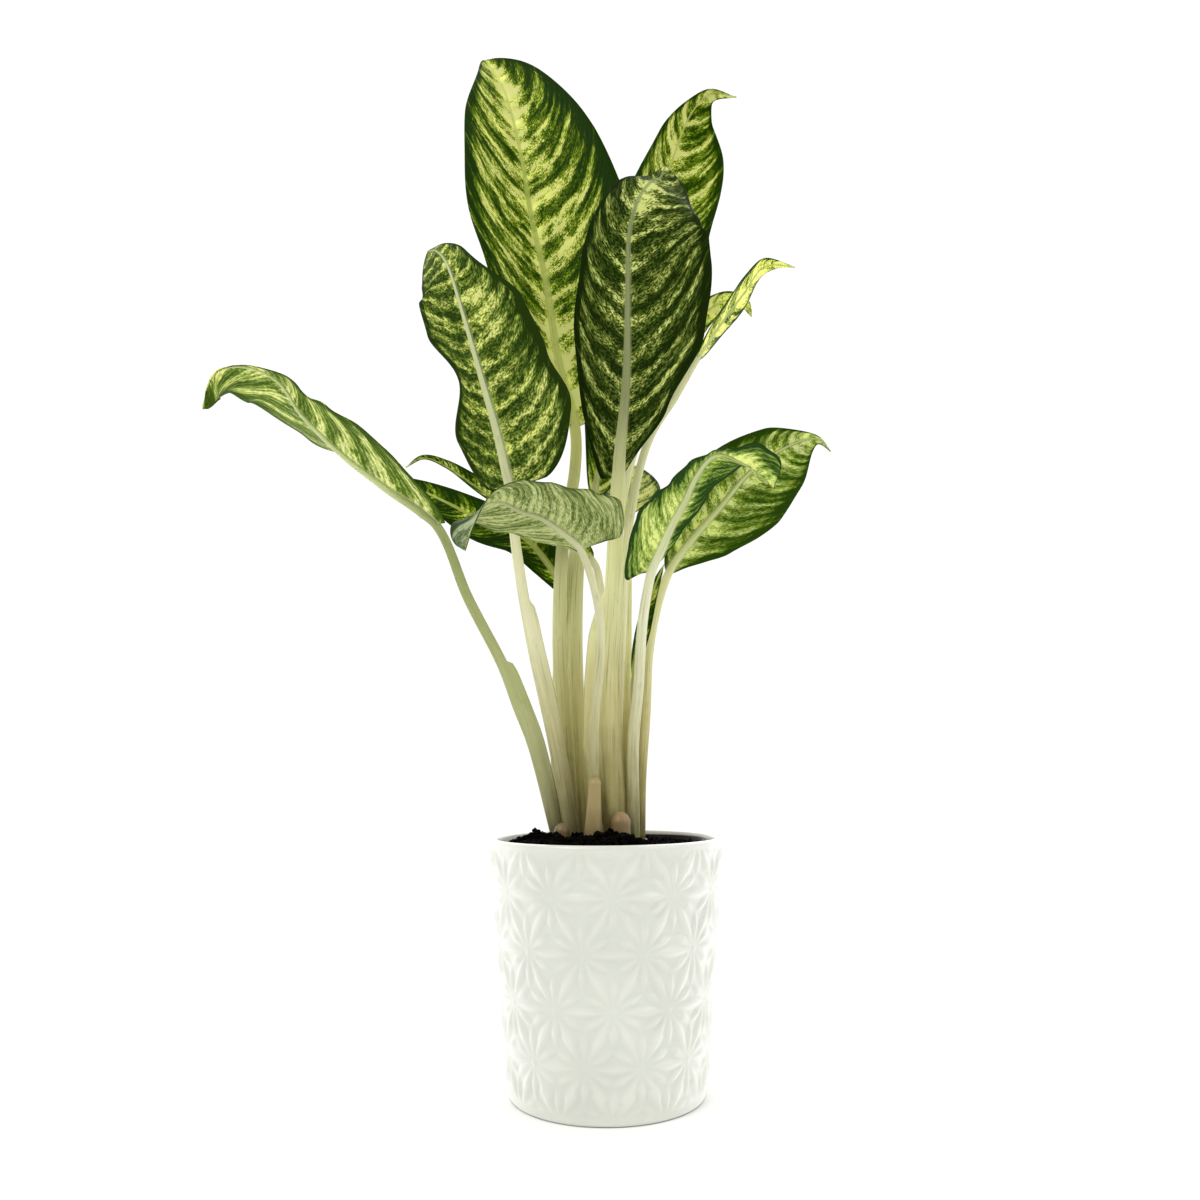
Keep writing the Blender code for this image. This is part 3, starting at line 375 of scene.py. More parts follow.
leaves = {
    "leafBackTall": dict(
        slot="leaf_upper_bright",
        stalk=[(-20, 6, foot), (-23, 8, 180), (-27, 10, 252), (-25, 16, 315), (-18, 26, 363)],
        rib=[(-18, 34, 394), (-29, 40, 439), (-39, 46, 505), (-49, 50, 554), (-58, 56, 611), (-71, 64, 665),
             (-85, 74, 696)],
        facing=22, right=[60, 64, 68, 66, 58], left=[46, 54, 57, 56, 40], oval=(0.45, 0.55, 0.6),
        fold=[26, 26, 24], curl=[0, 6, 16], curlLeft=[0, -6, -16], girth=[4.4, 4.4, 4, 3.6],
        finish=oliveStalk, wings=[(150, 1, 1), (200, 0.8, 0.8), (240, 0, 0)],
        upper=dict(base=0.05, glow=1.6, ribWide=0.5, patchesAndPaintedLight=[
            (0.88, 0, 0.24, 0.42, 0.38), (0.62, 1, 0.34, 0.5, -0.3), (0.92, 0.7, 0.2, 0.5, -0.25),
            (0.16, 0, 0.2, 0.55, 0.2)]),
        midrib="#c8ca72", midribFrom=-7),
    "leafBackRight": dict(
        slot="leaf_upper_bright",
        stalk=[(-12.5, 10, foot), (-15.5, 18, 180), (-18, 26, 253), (-15, 38, 317)],
        rib=[(-7, 48, 352), (-3, 54, 372), (5, 64, 418), (19, 72, 481), (33, 77, 545), (50, 78, 608),
             (68, 75, 653), (81, 70, 664), (99, 62, 655)],
        facing=25, right=[36, 40, 42, 44, 56, 18], left=[26, 34, 34, 34, 32, 10], oval=(0.5, 0.5, 0.8),
        fold=[20, 24, 26], girth=[4, 4.2, 4, 3.4], finish=oliveStalk,
        wings=[(150, 1, 2), (220, 0.8, 2.6), (300, 0.4, 3), (315, 0, 2.6), (321, 0, 0)],
        upper=dict(base=0.04, patchesAndPaintedLight=[(0.35, 0.7, 0.35, 0.35, 0.08), (1, 0, 0.08, 1.5, 0.5)])),
    "leafFrontTall": dict(
        stalk=[(3, -13, foot), (1, -14, 191), (1, -15, 220), (5, -18, 277)],
        rib=[(9, -22, 345), (14, -32, 402), (15, -44, 450), (16, -54, 481), (21, -58, 499), (28, -54, 512),
             (35, -42, 523), (39, -34, 536)],
        facing=172, right=[30, 34, 34, 30, 26, 14], left=[16, 32, 46, 50, 55, 48], oval=(0.5, 0.45, 0.6),
        fold=[8, 8, 10], curl=[0, 6], lobeRight=10, ribEnd=0.76, girth=[4.5, 5, 4.8, 4.2], finish=yellowStalk,
        wings=[(138, 3, 3), (160, 5, 6), (190, 4, 9), (218, 3.6, 8), (238, 3, 7.7), (251, 2.6, 7.4),
               (262, 0.6, 5.2), (270, 0, 3), (277, 0, 0)],
        under=dict(broad=1.7, broadShare=0.3, strokeShare=0.66, fleckShare=0.3,
                   # the first patch is a painted highlight where the blade bends over
                   patchesAndPaintedLight=[(0.8, -0.05, 0.11, 0.42, 0.42), (1, 0, 0.05, 1.5, 0.5)]),
        midrib="#8d9362"),
    "leafLeftUpright": dict(
        stalk=[(-19, -8, foot), (-30, -13, 196), (-42, -22, 250), (-50, -29, 299)],
        rib=[(-54, -35, 335), (-60, -40, 363), (-69, -48, 395), (-79, -58, 430), (-88, -60, 458),
             (-96, -50, 472), (-104, -36, 480)],
        facing=158, right=[44, 38, 19, 34, 40, 50], left=[58, 52, 40, 37, 19, 12], oval=(0.42, 0.42, 0.55),
        fold=[20, 20, 16], lobeRight=4, lobeLeft=4, sweep=0.6, girth=[4, 3.8, 3.1, 2.8],
        wings=[(150, 1, 0), (190, 2, 0), (218, 2.8, 0), (235, 3.1, 0), (258, 3, 0), (266, 2.2, 0),
               (270, 0, 0)],
        under=dict(
            base=0, broad=1.25, fine=0.6, fineShare=0.12, broadShare=0.31, strokeShare=0.74, fleckShare=0.26,
            colours={0: "#263a08", 0.28: "#445c1c", 0.52: "#6a8030", 0.72: "#98a848", 0.88: "#c4cc6c",
                     1: "#ecf090"},
            patchesAndPaintedLight=[(0.62, -0.35, 0.16, 0.35, 0.3), (0.2, -0.6, 0.2, 0.4, 0.14), (0.5, -1, 0.3, 0.35, -0.3)]),
        midrib="#d9deae"),
    "leafFarLeft": dict(
        stalk=[(-27, -7, foot), (-40.5, -15, 189), (-49, -19, 211), (-57.5, -22, 233), (-77, -30, 271)],
        rib=[(-95, -38, 312), (-122, -44, 332), (-145, -50, 349), (-167, -60, 370), (-177, -70, 384.5),
             (-191, -82, 388), (-202.5, -90, 382.5), (-205.5, -93, 374), (-207, -94, 360)],
        facing=112, right=[24, 30, 34, 35, 37, 43, 38, 38, 30], left=[26, 30, 31, 33, 27, 14, 5, 3, 3],
        oval=(0.4, 0.6, 0.55), fold=[70, 45, 12, -20, -60], foldLeft=[12, 6, 0], lobeLeft=10,
        girth=[3.6, 3.6, 3, 2.6], finish=greenStalk,
        wings=[(138, 1, 0), (162, 2, 0), (187, 2.8, 0), (211, 3.4, 0), (228, 3, 0), (232.5, 2.4, 0),
               (234.5, 0, 0)],
        upper=dict(bright, base=0.12, patchesAndPaintedLight=[(0.98, 0, 0.1, 1.5, -0.8)]),
        under=dict(
            fine=0.45, fineShare=0.22, base=0.02, patchesAndPaintedLight=[(0.98, 0, 0.07, 1.5, -0.6)],
            colours={0: "#46601a", 0.28: "#6a8430", 0.52: "#90a650", 0.75: "#bac870", 1: "#eef0b0"}),
        midrib="#e8efb4"),
    "leafLeftLow": dict(
        stalk=[(-26.5, 8, foot), (-30, 16, 192), (-29, 24, 241)],
        rib=[(-26, 28, 283), (-40, 30, 309), (-52, 32, 321), (-73, 34, 330), (-105, 36, 347),
             (-135, 38, 362)],
        facing=20, right=[14], left=[18, 20, 14], oval=(0.4, 0.6, 0.6), fold=[15], girth=[2.8, 2.8, 2.4, 2.2],
        upper=dict(base=-0.18, fine=0.5, fineShare=0.25, high=0.42),
        under=dict(base=0.02, fine=0.5, fineShare=0.2)),
    "leafFrontSmall": dict(
        stalk=[(-5.5, -12.5, foot), (-6, -26, 200), (-2, -29, 241), (-4, -33, 268)],
        rib=[(-13, -42, 296), (-20, -54, 301), (-34, -72, 307), (-43, -84, 307), (-52, -98, 308),
             (-59, -107, 304), (-64, -110, 293), (-68, -108, 281)],
        facing=160, right=[8, 13, 16, 18, 22, 24, 24, 26, 26], left=[44, 41, 30, 23, 24, 21, 18, 18, 18],
        oval=(0.3, 0.35, 0.4), fold=[5, 5, 5, 5, 60], foldLeft=[5], lobeLeft=10, girth=[2.6, 2.8, 2.4, 2.1],
        upper=dict(
            glow=1.0, colours={0: "#3f5230", 0.3: "#5c7048", 0.55: "#83946a", 0.8: "#a3b088", 1: "#c4cda8"}),
        under=dict(
            broadShare=0.14, fine=0.55, fineShare=0.2, strokeShare=0.95, base=0.08, margin=(0.9, 1.0),
            marginDark=0.15, linePale=0.05, low=-0.22, high=0.26, ribShow=0.4, veinRelief=-0.9,
            colours={0: "#50602c", 0.3: "#6e7e42", 0.55: "#92a25e", 0.8: "#b0ba78", 1: "#ced696"}),
        midrib="#b6bd8a"),
    "leafLeftNarrow": dict(
        stalk=[(-3, 1, foot), (-3, 0, 192), (-2, 2, 245), (-2, 6, 282)],
        rib=[(-7, 10, 301), (-27, 10, 314), (-51, 8, 328), (-76, 4, 344), (-96, -2, 357), (-109, -6, 361),
             (-119, -8, 355)],
        facing=45, right=[18, 14, 10, 10], left=[12, 10, 7, 7], oval=(0.4, 0.6, 0.9), fold=[25],
        girth=[2.8, 2.8, 2.6, 2.2],
        upper=dict(base=-0.18, fine=0.4, fineShare=0.2), under=dict(base=-0.04, fine=0.4)),
    "leafRightFront": dict(
        stalk=[(16, -9.5, foot), (16, -15, 191), (19, -18, 219), (22, -25, 259)],
        rib=[(27, -32, 285), (32, -36, 296), (38, -42, 309), (45, -48, 321), (51, -58, 333), (57, -70, 339),
             (62, -84, 337), (69, -94, 330), (77, -98, 323), (85, -100, 314)],
        facing=185, right=[32, 28, 24, 18, 12, 8, 3, 4, 12, 36, 60], left=[4, 8, 11, 17, 16, 16],
        oval=(0.4, 0.45, 0.5), fold=[16, 12, 8, 42], foldLeft=[16, 12, 6], lobeRight=16,
        girth=[3.4, 3.4, 3, 2.7], finish=creamStalk,
        upper=dict(
            bright, base=0.2, broadShare=0.15, margin=(0.7, 0.97), marginDark=0.45, glow=1.9,
            patchesAndPaintedLight=[(0.84, 0.25, 0.24, 0.5, 0.5), (0.95, 0.45, 0.05, 0.2, -0.6), (0.88, 1, 0.2, 0.35, -0.5)]),
        under=dict(
            base=-0.02, fine=0.5, fineShare=0.2, broadShare=0.22, margin=(0.84, 0.98), marginDark=0.5,
            patchesAndPaintedLight=[(0.35, -1, 0.45, 0.9, -0.45), (0.15, 0.3, 0.25, 0.6, 0.16), (0.5, 1, 0.32, 0.6, -0.6),
                    (0.82, 0.2, 0.24, 0.45, 0.34), (0.93, 0.7, 0.1, 0.35, -0.3)],
            colours={0: "#2c4a1c", 0.28: "#6e8c3c", 0.52: "#96ae54", 0.75: "#b8c874", 1: "#e4eca0"}),
        midrib="#d2da9e"),
    "leafRightBack": dict(
        stalk=[(19.5, 1, foot), (20.5, 3, 169), (24, 8, 208), (28, 14, 252)],
        rib=[(40, 20, 294), (54, 26, 315), (76, 32, 341), (94, 38, 363), (121, 46, 384), (144, 52, 392),
             (153, 54, 384)],
        facing=185, right=[20, 24, 28, 24, 4], left=[18, 30, 36, 34, 4], oval=(0.5, 0.6, 0.6), fold=[10],
        girth=[3.4, 3.4, 3, 2.6], finish=yellowStalk,
        under=dict(
            base=0, broadShare=0.24, clear=0.3, margin=(0.72, 0.94), marginDark=0.42, fine=0.95,
            fineShare=0.24, ribSpread=1.6, ribPale=0.22, patchShare=0.5,
            colours={0: "#2c4a02", 0.28: "#547214", 0.52: "#7c9438", 0.75: "#a8ba58", 1: "#dce69c"}),
        midrib="#cfd892"),
    "leafMiddleBack": dict(
        stalk=[(14.1, 8.7, foot), (13.2, 16, 192), (14, 22, 241), (15, 30, 286)],
        rib=[(16, 40, 337), (18, 62, 355), (19, 86, 373), (22, 110, 393)],
        right=[21], left=[21], girth=[2.8, 3, 2.8, 2.5], finish=yellowStalk, upper=dict(base=0.17)),
    "leafRightNarrow": dict(
        stalk=[(5.5, -3, foot), (7, -4, 192), (10, -5, 250), (16, 2, 324), (29, 10, 378), (46, 14, 407)],
        rib=[(61, 20, 435), (78, 28, 463), (96, 36, 490), (109, 42, 510), (120, 46, 515), (133, 48, 514)],
        facing=76, right=[15, 15, 15, 12, 6], left=[15, 15, 15, 12, 6], fold=[0],
        girth=[2.8, 2.8, 2.6, 2.2], upper=bright,
        under=dict(
            base=0.12, broadShare=0.15, strokeShare=1.0, high=0.26,
            colours={0: "#3a5a1c", 0.28: "#6f8c3c", 0.52: "#a8bc5c", 0.75: "#dde69c", 1: "#fcfcd0"})),
    "leafRightHidden": dict(
        stalk=[(1, 9.5, foot), (-1, 18, 192), (3, 24, 255), (13, 34, 346)],
        rib=[(31, 48, 411), (54, 56, 462), (73, 62, 489), (89, 67, 500), (101, 70, 499), (106, 71, 489)],
        facing=60, right=[12], left=[12], girth=[2.8, 2.8, 2.4, 2],
        upper=dict(base=0.14), under=dict(base=0.22)),
    "leafRolledYoung": dict(
        stalk=[(19.6, 9.3, foot), (19.6, 10.3, 180), (17.5, 9, 210)],
        rib=[(17.5, 7, 227), (21, 4, 248), (27, 1, 273), (36, 0, 296)],
        right=[5], left=[5], fold=[30], girth=[2.2, 2.2, 2, 1.8], finish=greenStalk,
        upper=dict(base=-0.25), under=dict(base=-0.25)),
}

# the blade is quilted between its side veins, which are so many cm apart, and its margin waves a little
bladeSet = dict(rows=110, columns=18, thickness=0.0004, quilt=0.0003, quiltEvery=0.8, wave=0.0008,
                waveEvery=0.075)
stalkSet = dict(stations=90, ribStations=60, around=24, deep=0.84)  # deep: thickness as a share of width
frontwards = np.array([0.0, -1.0, 0.0])


def nodeName(name):
    # the node that a piece stands for: leafBackTall stands for leaf_back_tall
    return "".join("_" + letter.lower() if letter.isupper() else letter for letter in name)


def inMetres(spec):
    # a whole leaf in metres: what it leaves out is plainLeaf's, and its stalk and rib are smooth curves
    leaf = plainLeaf | spec
    for key in ("right", "left", "girth", "lobeRight", "lobeLeft", "wings"):
        leaf[key] = np.array(leaf[key]) / 1000
    route, joint = smoothRoute(np.array(leaf["stalk"] + leaf["rib"]) / 1000), len(leaf["stalk"]) * routeSteps
    leaf["stalk"], leaf["rib"] = route[:joint + 1], route[joint:]
    return leaf


def closeUp(bm):
    # merges doubles, fills holes and turns the faces outwards
    bmesh.ops.remove_doubles(bm, verts=bm.verts, dist=0.00001)
    bmesh.ops.holes_fill(bm, edges=[e for e in bm.edges if e.is_boundary], sides=0)
    bmesh.ops.recalc_face_normals(bm, faces=bm.faces)


def spread(down, across):
    # a UV map's coordinates from those of its rows and of its columns
    return np.stack(np.meshgrid(down, across, indexing="ij"), -1)


def gridSkin(points, **uvMaps):
    # a grid laid on rows of points, with its UV maps
    rows, columns = points.shape[0] - 1, points.shape[1] - 1
    bm = bmesh.new()
    bmesh.ops.create_grid(bm, x_segments=columns, y_segments=rows, size=0.5)
    layers = [(bm.loops.layers.uv.new(name), uvs) for name, uvs in uvMaps.items()]
    at = {v: (round((v.co.y + 0.5) * rows), round((v.co.x + 0.5) * columns)) for v in bm.verts}
    for face in bm.faces:
        for loop in face.loops:
            for layer, uvs in layers:
                loop[layer].uv = uvs[at[loop.vert]]
    for vert, place in at.items():
        vert.co = points[place]
    return bm


def makeBlade(name, node, leaf, finishes):
    # a shell of rows along the blade and columns each side of its rib; the veins' UV map is in cm
    rows, columns = bladeSet["rows"], bladeSet["columns"]
    at = np.linspace(0, 1, rows + 1)
    rib, length = atLengths(leaf["rib"], at)
    start, turn = unitRows(rib[1] - rib[0]), radians(leaf["facing"])
    face = unitRows(frontwards - start * (frontwards @ start))
    tangents, normals = carried(rib, face * cos(turn) + np.cross(start, face) * sin(turn))
    sideways = np.cross(tangents, normals)
    widest, baseBlunt, tipBlunt = leaf["oval"]
    rising = np.sin(pi / 2 * np.clip(at / widest, 0, 1)) ** baseBlunt
    falling = np.cos(pi / 2 * np.clip((at - widest) / (1 - widest), 0, 1)) ** tipBlunt
    outline = np.where(at < widest, rising, falling)
    points = np.zeros((rows + 1, 2 * columns + 1, 3))
    veins = np.zeros((rows + 1, 2 * columns + 1, 2))
    points[:, columns] = rib
    veins[:, columns, 0] = at * length * 100
    sides = ((1, leaf["right"], leaf["fold"], leaf["curl"], leaf["lobeRight"]),
             (-1, leaf["left"], leaf.get("foldLeft", leaf["fold"]), leaf.get("curlLeft", leaf["curl"]),
              leaf["lobeLeft"]))
    for side, widths, fold, curl, lobe in sides:
        reach = np.maximum(eased(widths, at) * outline, 0.0004)
        first = np.radians(eased(fold, at))
        bend = np.radians(eased(curl, at))
        waves = at * length / bladeSet["waveEvery"] + 0.3 * side
        waved = bladeSet["wave"] * outline * np.sin(2 * pi * waves)
        across = np.zeros((rows + 1, 3))
        for k in range(1, columns + 1):
            angle = first + bend * (k - 0.5) / columns
            step = sideways * side * np.cos(angle)[:, None] + normals * np.sin(angle)[:, None]
            across = across + step * (reach / columns)[:, None]
            v = k / columns
            back = -tangents * (lobe * v * np.exp(-(at / 0.1) ** 2) * np.clip(at / 0.03, 0, 1))[:, None]
            # a side vein sweeps towards the tip on its way out
            vein = (at * length - leaf["sweep"] * (0.5 * v + 0.85 * v ** 3) * reach) * 100
            quilted = np.sin(pi * vein / bladeSet["quiltEvery"]) ** 2 * sin(pi * min(v * 1.05, 1.0))
            face = normals * np.cos(angle)[:, None] - sideways * side * np.sin(angle)[:, None]
            lift = bladeSet["quilt"] * quilted + waved * v ** 2
            points[:, columns + side * k] = rib + across + back + face * lift[:, None]
            veins[:, columns + side * k] = np.stack([vein, side * v * reach * 100], -1)
    bm = gridSkin(points, blade=spread(at, np.linspace(-1, 1, 2 * columns + 1)), veins=veins)
    shell = piece(name, bm, finishes, node).modifiers.new("thickness", "SOLIDIFY")
    shell.thickness = bladeSet["thickness"]
    shell.offset = 0.0
    shell.material_offset = 1
    shell.material_offset_rim = 0
    return normals


def makeStalk(name, node, leaf, finish, bladeNormals):
    # stalk and midrib: one tapering fleshy tube, its lower half spread into a thin-winged sheath
    stations, around = stalkSet["stations"], stalkSet["around"]
    stalkAt = np.linspace(0, 1, stations + 1)
    ribAt = np.linspace(0, leaf["ribEnd"], stalkSet["ribStations"] + 1)[1:]
    points = np.vstack([atLengths(leaf["stalk"], stalkAt)[0], atLengths(leaf["rib"], ribAt)[0]])
    tangents, normals = carried(points, frontwards)
    sideways = np.cross(tangents, normals)
    left = 1 - ribAt / leaf["ribEnd"] * 0.97
    end = leaf["girth"][-1]
    girth = np.concatenate([eased(leaf["girth"], stalkAt), end * (left ** 1.3 * 0.88 + 0.05)])[:, None]
    bladeAt = np.linspace(0, 1, len(bladeNormals))
    bladeFace = np.stack([np.interp(ribAt, bladeAt, bladeNormals[:, axis]) for axis in range(3)], -1)
    # the midrib lies sunk in the blade's lower face
    sink = end * 0.55 * left ** 0.9 * np.clip(ribAt / 0.05, 0, 1)
    points[stations + 1:] -= unitRows(bladeFace) * sink[:, None]
    wings = [np.interp(points[:, 2], leaf["wings"][:, 0], leaf["wings"][:, k])[:, None] for k in (1, 2)]
    lengths = np.concatenate([[0.0], np.cumsum(np.linalg.norm(np.diff(points, axis=0), axis=1))])
    lengths = (lengths - lengths[stations]) * 100
    angle = -2 * pi * np.arange(around + 1) / around
    c, s = np.cos(angle), np.sin(angle)
    wing = np.where(c > 0, *wings)
    wing[stations:] = 0.0
    broad = c * (girth + wing * abs(c) ** 5)
    thin = 1 - 0.75 * abs(c) ** 4 * np.minimum(wing / 0.003, 1)
    deep = girth * stalkSet["deep"] * s * thin - wing * 0.3 * abs(c) ** 6
    skin = points[:, None] + sideways[:, None] * broad[..., None] + normals[:, None] * deep[..., None]
    bm = gridSkin(skin, length=spread(lengths, np.linspace(0, 1, around + 1)))
    closeUp(bm)
    piece(name, bm, [finish], node)


for seed, (leafName, spec) in enumerate(leaves.items(), 1):
    leaf, node = inMetres(spec), nodeName(leafName)
    upper = leafFinish(leafName + "Upper", upperFace | leaf["upper"], seed)
    under = leafFinish(leafName + "Under", underFace | leaf["under"], seed + 0.4)
    bladeNormals = makeBlade(leafName + "Blade", node, leaf, [upper, under])
    flesh = stalkFinish(leafName + "Stalk", leaf, seed)
    makeStalk(leafName + "Stalk", node, leaf, flesh, bladeNormals)
print("leaves made:", len(leaves))

# the cover pot's cast pattern: rows of twelve-rayed starbursts, turned half a step from row to row
coverPot = dict(starsAround=12, firstStar=3.0, rowHeights=(0.1387, 0.111, 0.0828, 0.055, 0.0275, 0),
                reach=0.019, between=0.0325, midway=0.0187, halfWidth=0.0032, hub=0.0016, relief=0.0017,
                reliefTop=0.1335, foot=0.054, wall=0.004, floor=0.005, steps=360, rows=120)
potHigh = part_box("cover_pot")[1]
potTop, potHeight, potFoot = potHigh[0], potHigh[2], coverPot["foot"]


def potRadius(z):
    return potFoot + (potTop - potFoot) * min(max((z - 0.002) / (potHeight - 0.004), 0), 1)


def starRelief(angle, z):
    # height of the cast pattern, 0 to 1: from each star's hub six lens-shaped ridges run to the stars around
    # it and six shorter ones to the points midway between three stars, each with a crease along its middle
    best = 0.0
    spacing = 2 * pi / coverPot["starsAround"]
    for row, centre in enumerate(coverPot["rowHeights"]):
        dz = z - centre
        if abs(dz) > coverPot["reach"]:
            continue
        shift = coverPot["firstStar"] + (15.0 if row % 2 == 0 else 0.0)
        turned = (angle - radians(shift)) / spacing
        dx = (turned - round(turned)) * spacing * potRadius(centre)
        r = hypot(dx, dz)
        if r > coverPot["reach"]:
            continue
        turn = atan2(dz, dx) / (pi / 6)
        nearest = round(turn)
        off = r * sin(abs(turn - nearest) * pi / 6)
        rayLength, share = (coverPot["between"], 1.0) if nearest % 2 == 0 else (coverPot["midway"], 0.9)
        wide = share * sin(pi * min(r / rayLength, 1.0))
        ridge = min(wide, r * 0.26 / coverPot["halfWidth"]) - off / coverPot["halfWidth"]
        best = max(best, ridge, 0.5 * (1 - (r / coverPot["hub"]) ** 2))
    return best


def glazeFinish():
    # glazed stoneware: an opaque off-white glaze over a cast body, glossy but a little uneven, so that
    # highlights break up, with pinholes under a millimetre
    m = newMaterial("glazedStonewareWhite")
    place = add(m, "TexCoord", out=3)
    cloud = add(m, "TexNoise", {0: place, "Scale": 28.0, "Detail": 3.0})
    colour = add(m, "ValToRGB", {0: cloud}, stops={0.35: "#d6d8cd", 0.65: "#dddfd4"})
    pits = add(m, "TexNoise", {0: place, "Scale": 420.0, "Detail": 2.0})
    speck = add(m, "MapRange", {0: pits, 1: 0.72, 2: 0.8})
    # the glaze runs thin and white over the ridges and pools greyer beside them, tones that are also painted
    # highlight and painted shade to bring out the low relief, and it is painted whiter edge-on, a painted
    # reflection
    ridge = add(m, "Attribute", out=2, attribute_name="relief")
    pooledAndShaded = add(m, "MapRange", {0: ridge, 1: 0.5, 2: 0.0, 4: 0.13})
    thin = add(m, "MapRange", {0: ridge, 1: 0.5, 2: 1.0, 4: 0.25})
    # painted reflection: the colour is mixed towards white where the wall turns away
    turned = add(m, "LayerWeight", {"Blend": 0.3}, out=1)
    paintedEdgeReflection = add(m, "MapRange", {0: turned, 1: 0.18, 2: 0.7, 4: 0.95})
    for mask, over in ((speck, "#c9c9bc"), (pooledAndShaded, "#b4bab6"), (thin, "#ecece4"), (paintedEdgeReflection, "#fbfbf6")):
        colour = add(m, "Mix", {0: mask, 6: colour, 7: linear(over)}, **colourMix)
    ripple = add(m, "TexNoise", {0: place, "Scale": 90.0, "Detail": 2.0})
    rough = add(m, "MapRange", {0: cloud, 3: 0.26, 4: 0.4})
    return opaque(m, colour, ripple, 0.15, 0.0006, {"Roughness": rough, "IOR": 1.52, "Coat Weight": 0.6,
                                                    "Coat Roughness": 0.22})


def footFinish():
    # unglazed clay at the foot ring: grey-brown, dull and gritty
    m = newMaterial("unglazedClayFoot")
    grit = add(m, "TexNoise", {0: add(m, "TexCoord", out=3), "Scale": 700.0, "Detail": 3.0})
    colour = add(m, "ValToRGB", {0: grit}, stops={0.3: "#6d655c", 0.7: "#8d857a"})
    return opaque(m, colour, grit, 0.4, 0.0003, {"Roughness": 0.85})


def lathe(profile, steps):
    # a profile of (radius, height) points spun into a closed skin round Z, its pole ends merged
    bm = bmesh.new()
    verts = [bm.verts.new((r, 0, z)) for r, z in profile]
    edges = [bm.edges.new(pair) for pair in zip(verts, verts[1:])]
    bmesh.ops.spin(bm, geom=verts + edges, cent=(0, 0, 0), axis=(0, 0, 1), angle=2 * pi, steps=steps,
                   use_merge=True)
    closeUp(bm)
    return bm


lip = coverPot["wall"] / 2
innerFoot, innerFloor = potFoot - coverPot["wall"], coverPot["floor"]
profile = [(0, 0.0008), (0.03, 0.0008), (0.0475, 0.0008), (0.0485, 0), (potFoot - 0.002, 0)]
profile += [(potFoot - 0.0008, 0.0004), (potFoot - 0.0001, 0.0013)]
for k in range(coverPot["rows"] + 1):
    z = 0.0022 + (potHeight - lip - 0.0022) * k / coverPot["rows"]
    profile.append((potRadius(z), z))
for k in range(1, 9):
    angle = pi * k / 9
    profile.append((potTop - lip + lip * cos(angle), potHeight - lip + lip * sin(angle)))
for k in range(6):
    narrower, down = (potTop - potFoot) * k / 6, (potHeight - 0.01) * k / 6
    profile.append((potTop - 2 * lip - narrower, potHeight - lip - down))
profile += [(innerFoot, innerFloor + 0.003), (innerFoot - 0.003, innerFloor), (0, innerFloor)]
bm = lathe(profile, coverPot["steps"])
reliefLayer = bm.verts.layers.float.new("relief")
for vert in bm.verts:
    vert[reliefLayer] = 0.5
    radius = hypot(vert.co.x, vert.co.y)
    if radius > potRadius(vert.co.z) - 0.0006 and 0.003 < vert.co.z < coverPot["reliefTop"] + 0.001:
        star = starRelief(atan2(vert.co.x, -vert.co.y), vert.co.z)
        # the pattern fades out under the rim and above the foot
        shown = min(max((coverPot["reliefTop"] - vert.co.z) / 0.003, 0), 1)
        shown *= min(max((vert.co.z - 0.004) / 0.004, 0), 1)
        vert[reliefLayer] = 0.5 + (star - 0.5) * shown
        raised = (star * shown - 0.3) * coverPot["relief"]
        # the wall of a hand-filled mould is never quite true
        raised += 0.00015 * noise.noise(vert.co * 18)
        vert.co.x *= (radius + raised) / radius
        vert.co.y *= (radius + raised) / radius
for face in bm.faces:
    middle = face.calc_center_median()
    if middle.z < 0.0007 and hypot(middle.x, middle.y) > 0.02:
        face.material_index = 1
piece("coverPot", bm, [glazeFinish(), footFinish()], "cover_pot")
print("cover pot made")

# the grow pot stands a little crooked in the cover pot, its right side higher
growPot = dict(rimRadius=0.0585, topRadius=0.057, footRadius=0.045, height=0.1273, wall=0.0012,
               rimEdge=0.0006, lean=1.8, shift=0.0032)


def plasticFinish():
    # injection-moulded polypropylene, dark red-brown, faintly grained, dulled by soil dust
    m = newMaterial("mouldedPolypropyleneBrown")
    place = add(m, "TexCoord", out=3)
    grained = add(m, "TexNoise", {0: place, "Scale": 900.0, "Detail": 2.0})
    dust = add(m, "TexNoise", {0: place, "Scale": 60.0, "Detail": 5.0})
    colour = add(m, "ValToRGB", {0: dust}, stops={0.35: "#160b07", 0.62: "#24130d", 0.8: "#3b2c22"})
    rough = add(m, "MapRange", {0: dust, 3: 0.35, 4: 0.7})
    return opaque(m, colour, grained, 0.2, 0.0002, {"Roughness": rough, "IOR": 1.49,
                                                    "Specular IOR Level": 0.08})


wall, top, edge = growPot["wall"], growPot["height"], growPot["rimEdge"]
rimOut, topOut, footOut = growPot["rimRadius"], growPot["topRadius"], growPot["footRadius"]
profile = [(0, 0), (0.03, 0), (footOut - 0.001, 0), (footOut, 0.001)]
for k in range(1, 13):
    profile.append((footOut + (topOut - footOut) * k / 12, 0.001 + (top - 0.007) * k / 12))
profile += [(rimOut - 0.0003, top - 0.006), (rimOut, top - 0.0056), (rimOut, top - edge)]
profile += [(rimOut - edge, top), (topOut - wall + edge, top), (topOut - wall, top - edge)]
profile += [(footOut - wall, wall + 0.001), (footOut - wall - 0.001, wall), (0, wall)]
bm = lathe(profile, 120)
lean = radians(growPot["lean"])
standing = Matrix.Translation((growPot["shift"], 0, coverPot["floor"] + 0.0003 + footOut * sin(lean)))
bmesh.ops.transform(bm, matrix=standing @ Matrix.Rotation(-lean, 4, "Y"), verts=bm.verts)
piece("growPot", bm, [plasticFinish()], "grow_pot")
print("grow pot made")

# a soil mound round the clump, and heaps: where, how wide, deep and high
soilSet = dict(shift=-0.0023, level=0.132, mound=0.006, spread=0.026, middle=(-0.01, -0.002), crumbs=2300,
               fibres=90, radius=0.055, seed=7,
               heaps=[(-0.036, -0.031, 0.016, 0.014, 0.0068), (0.004, -0.038, 0.015, 0.012, 0.0078)])


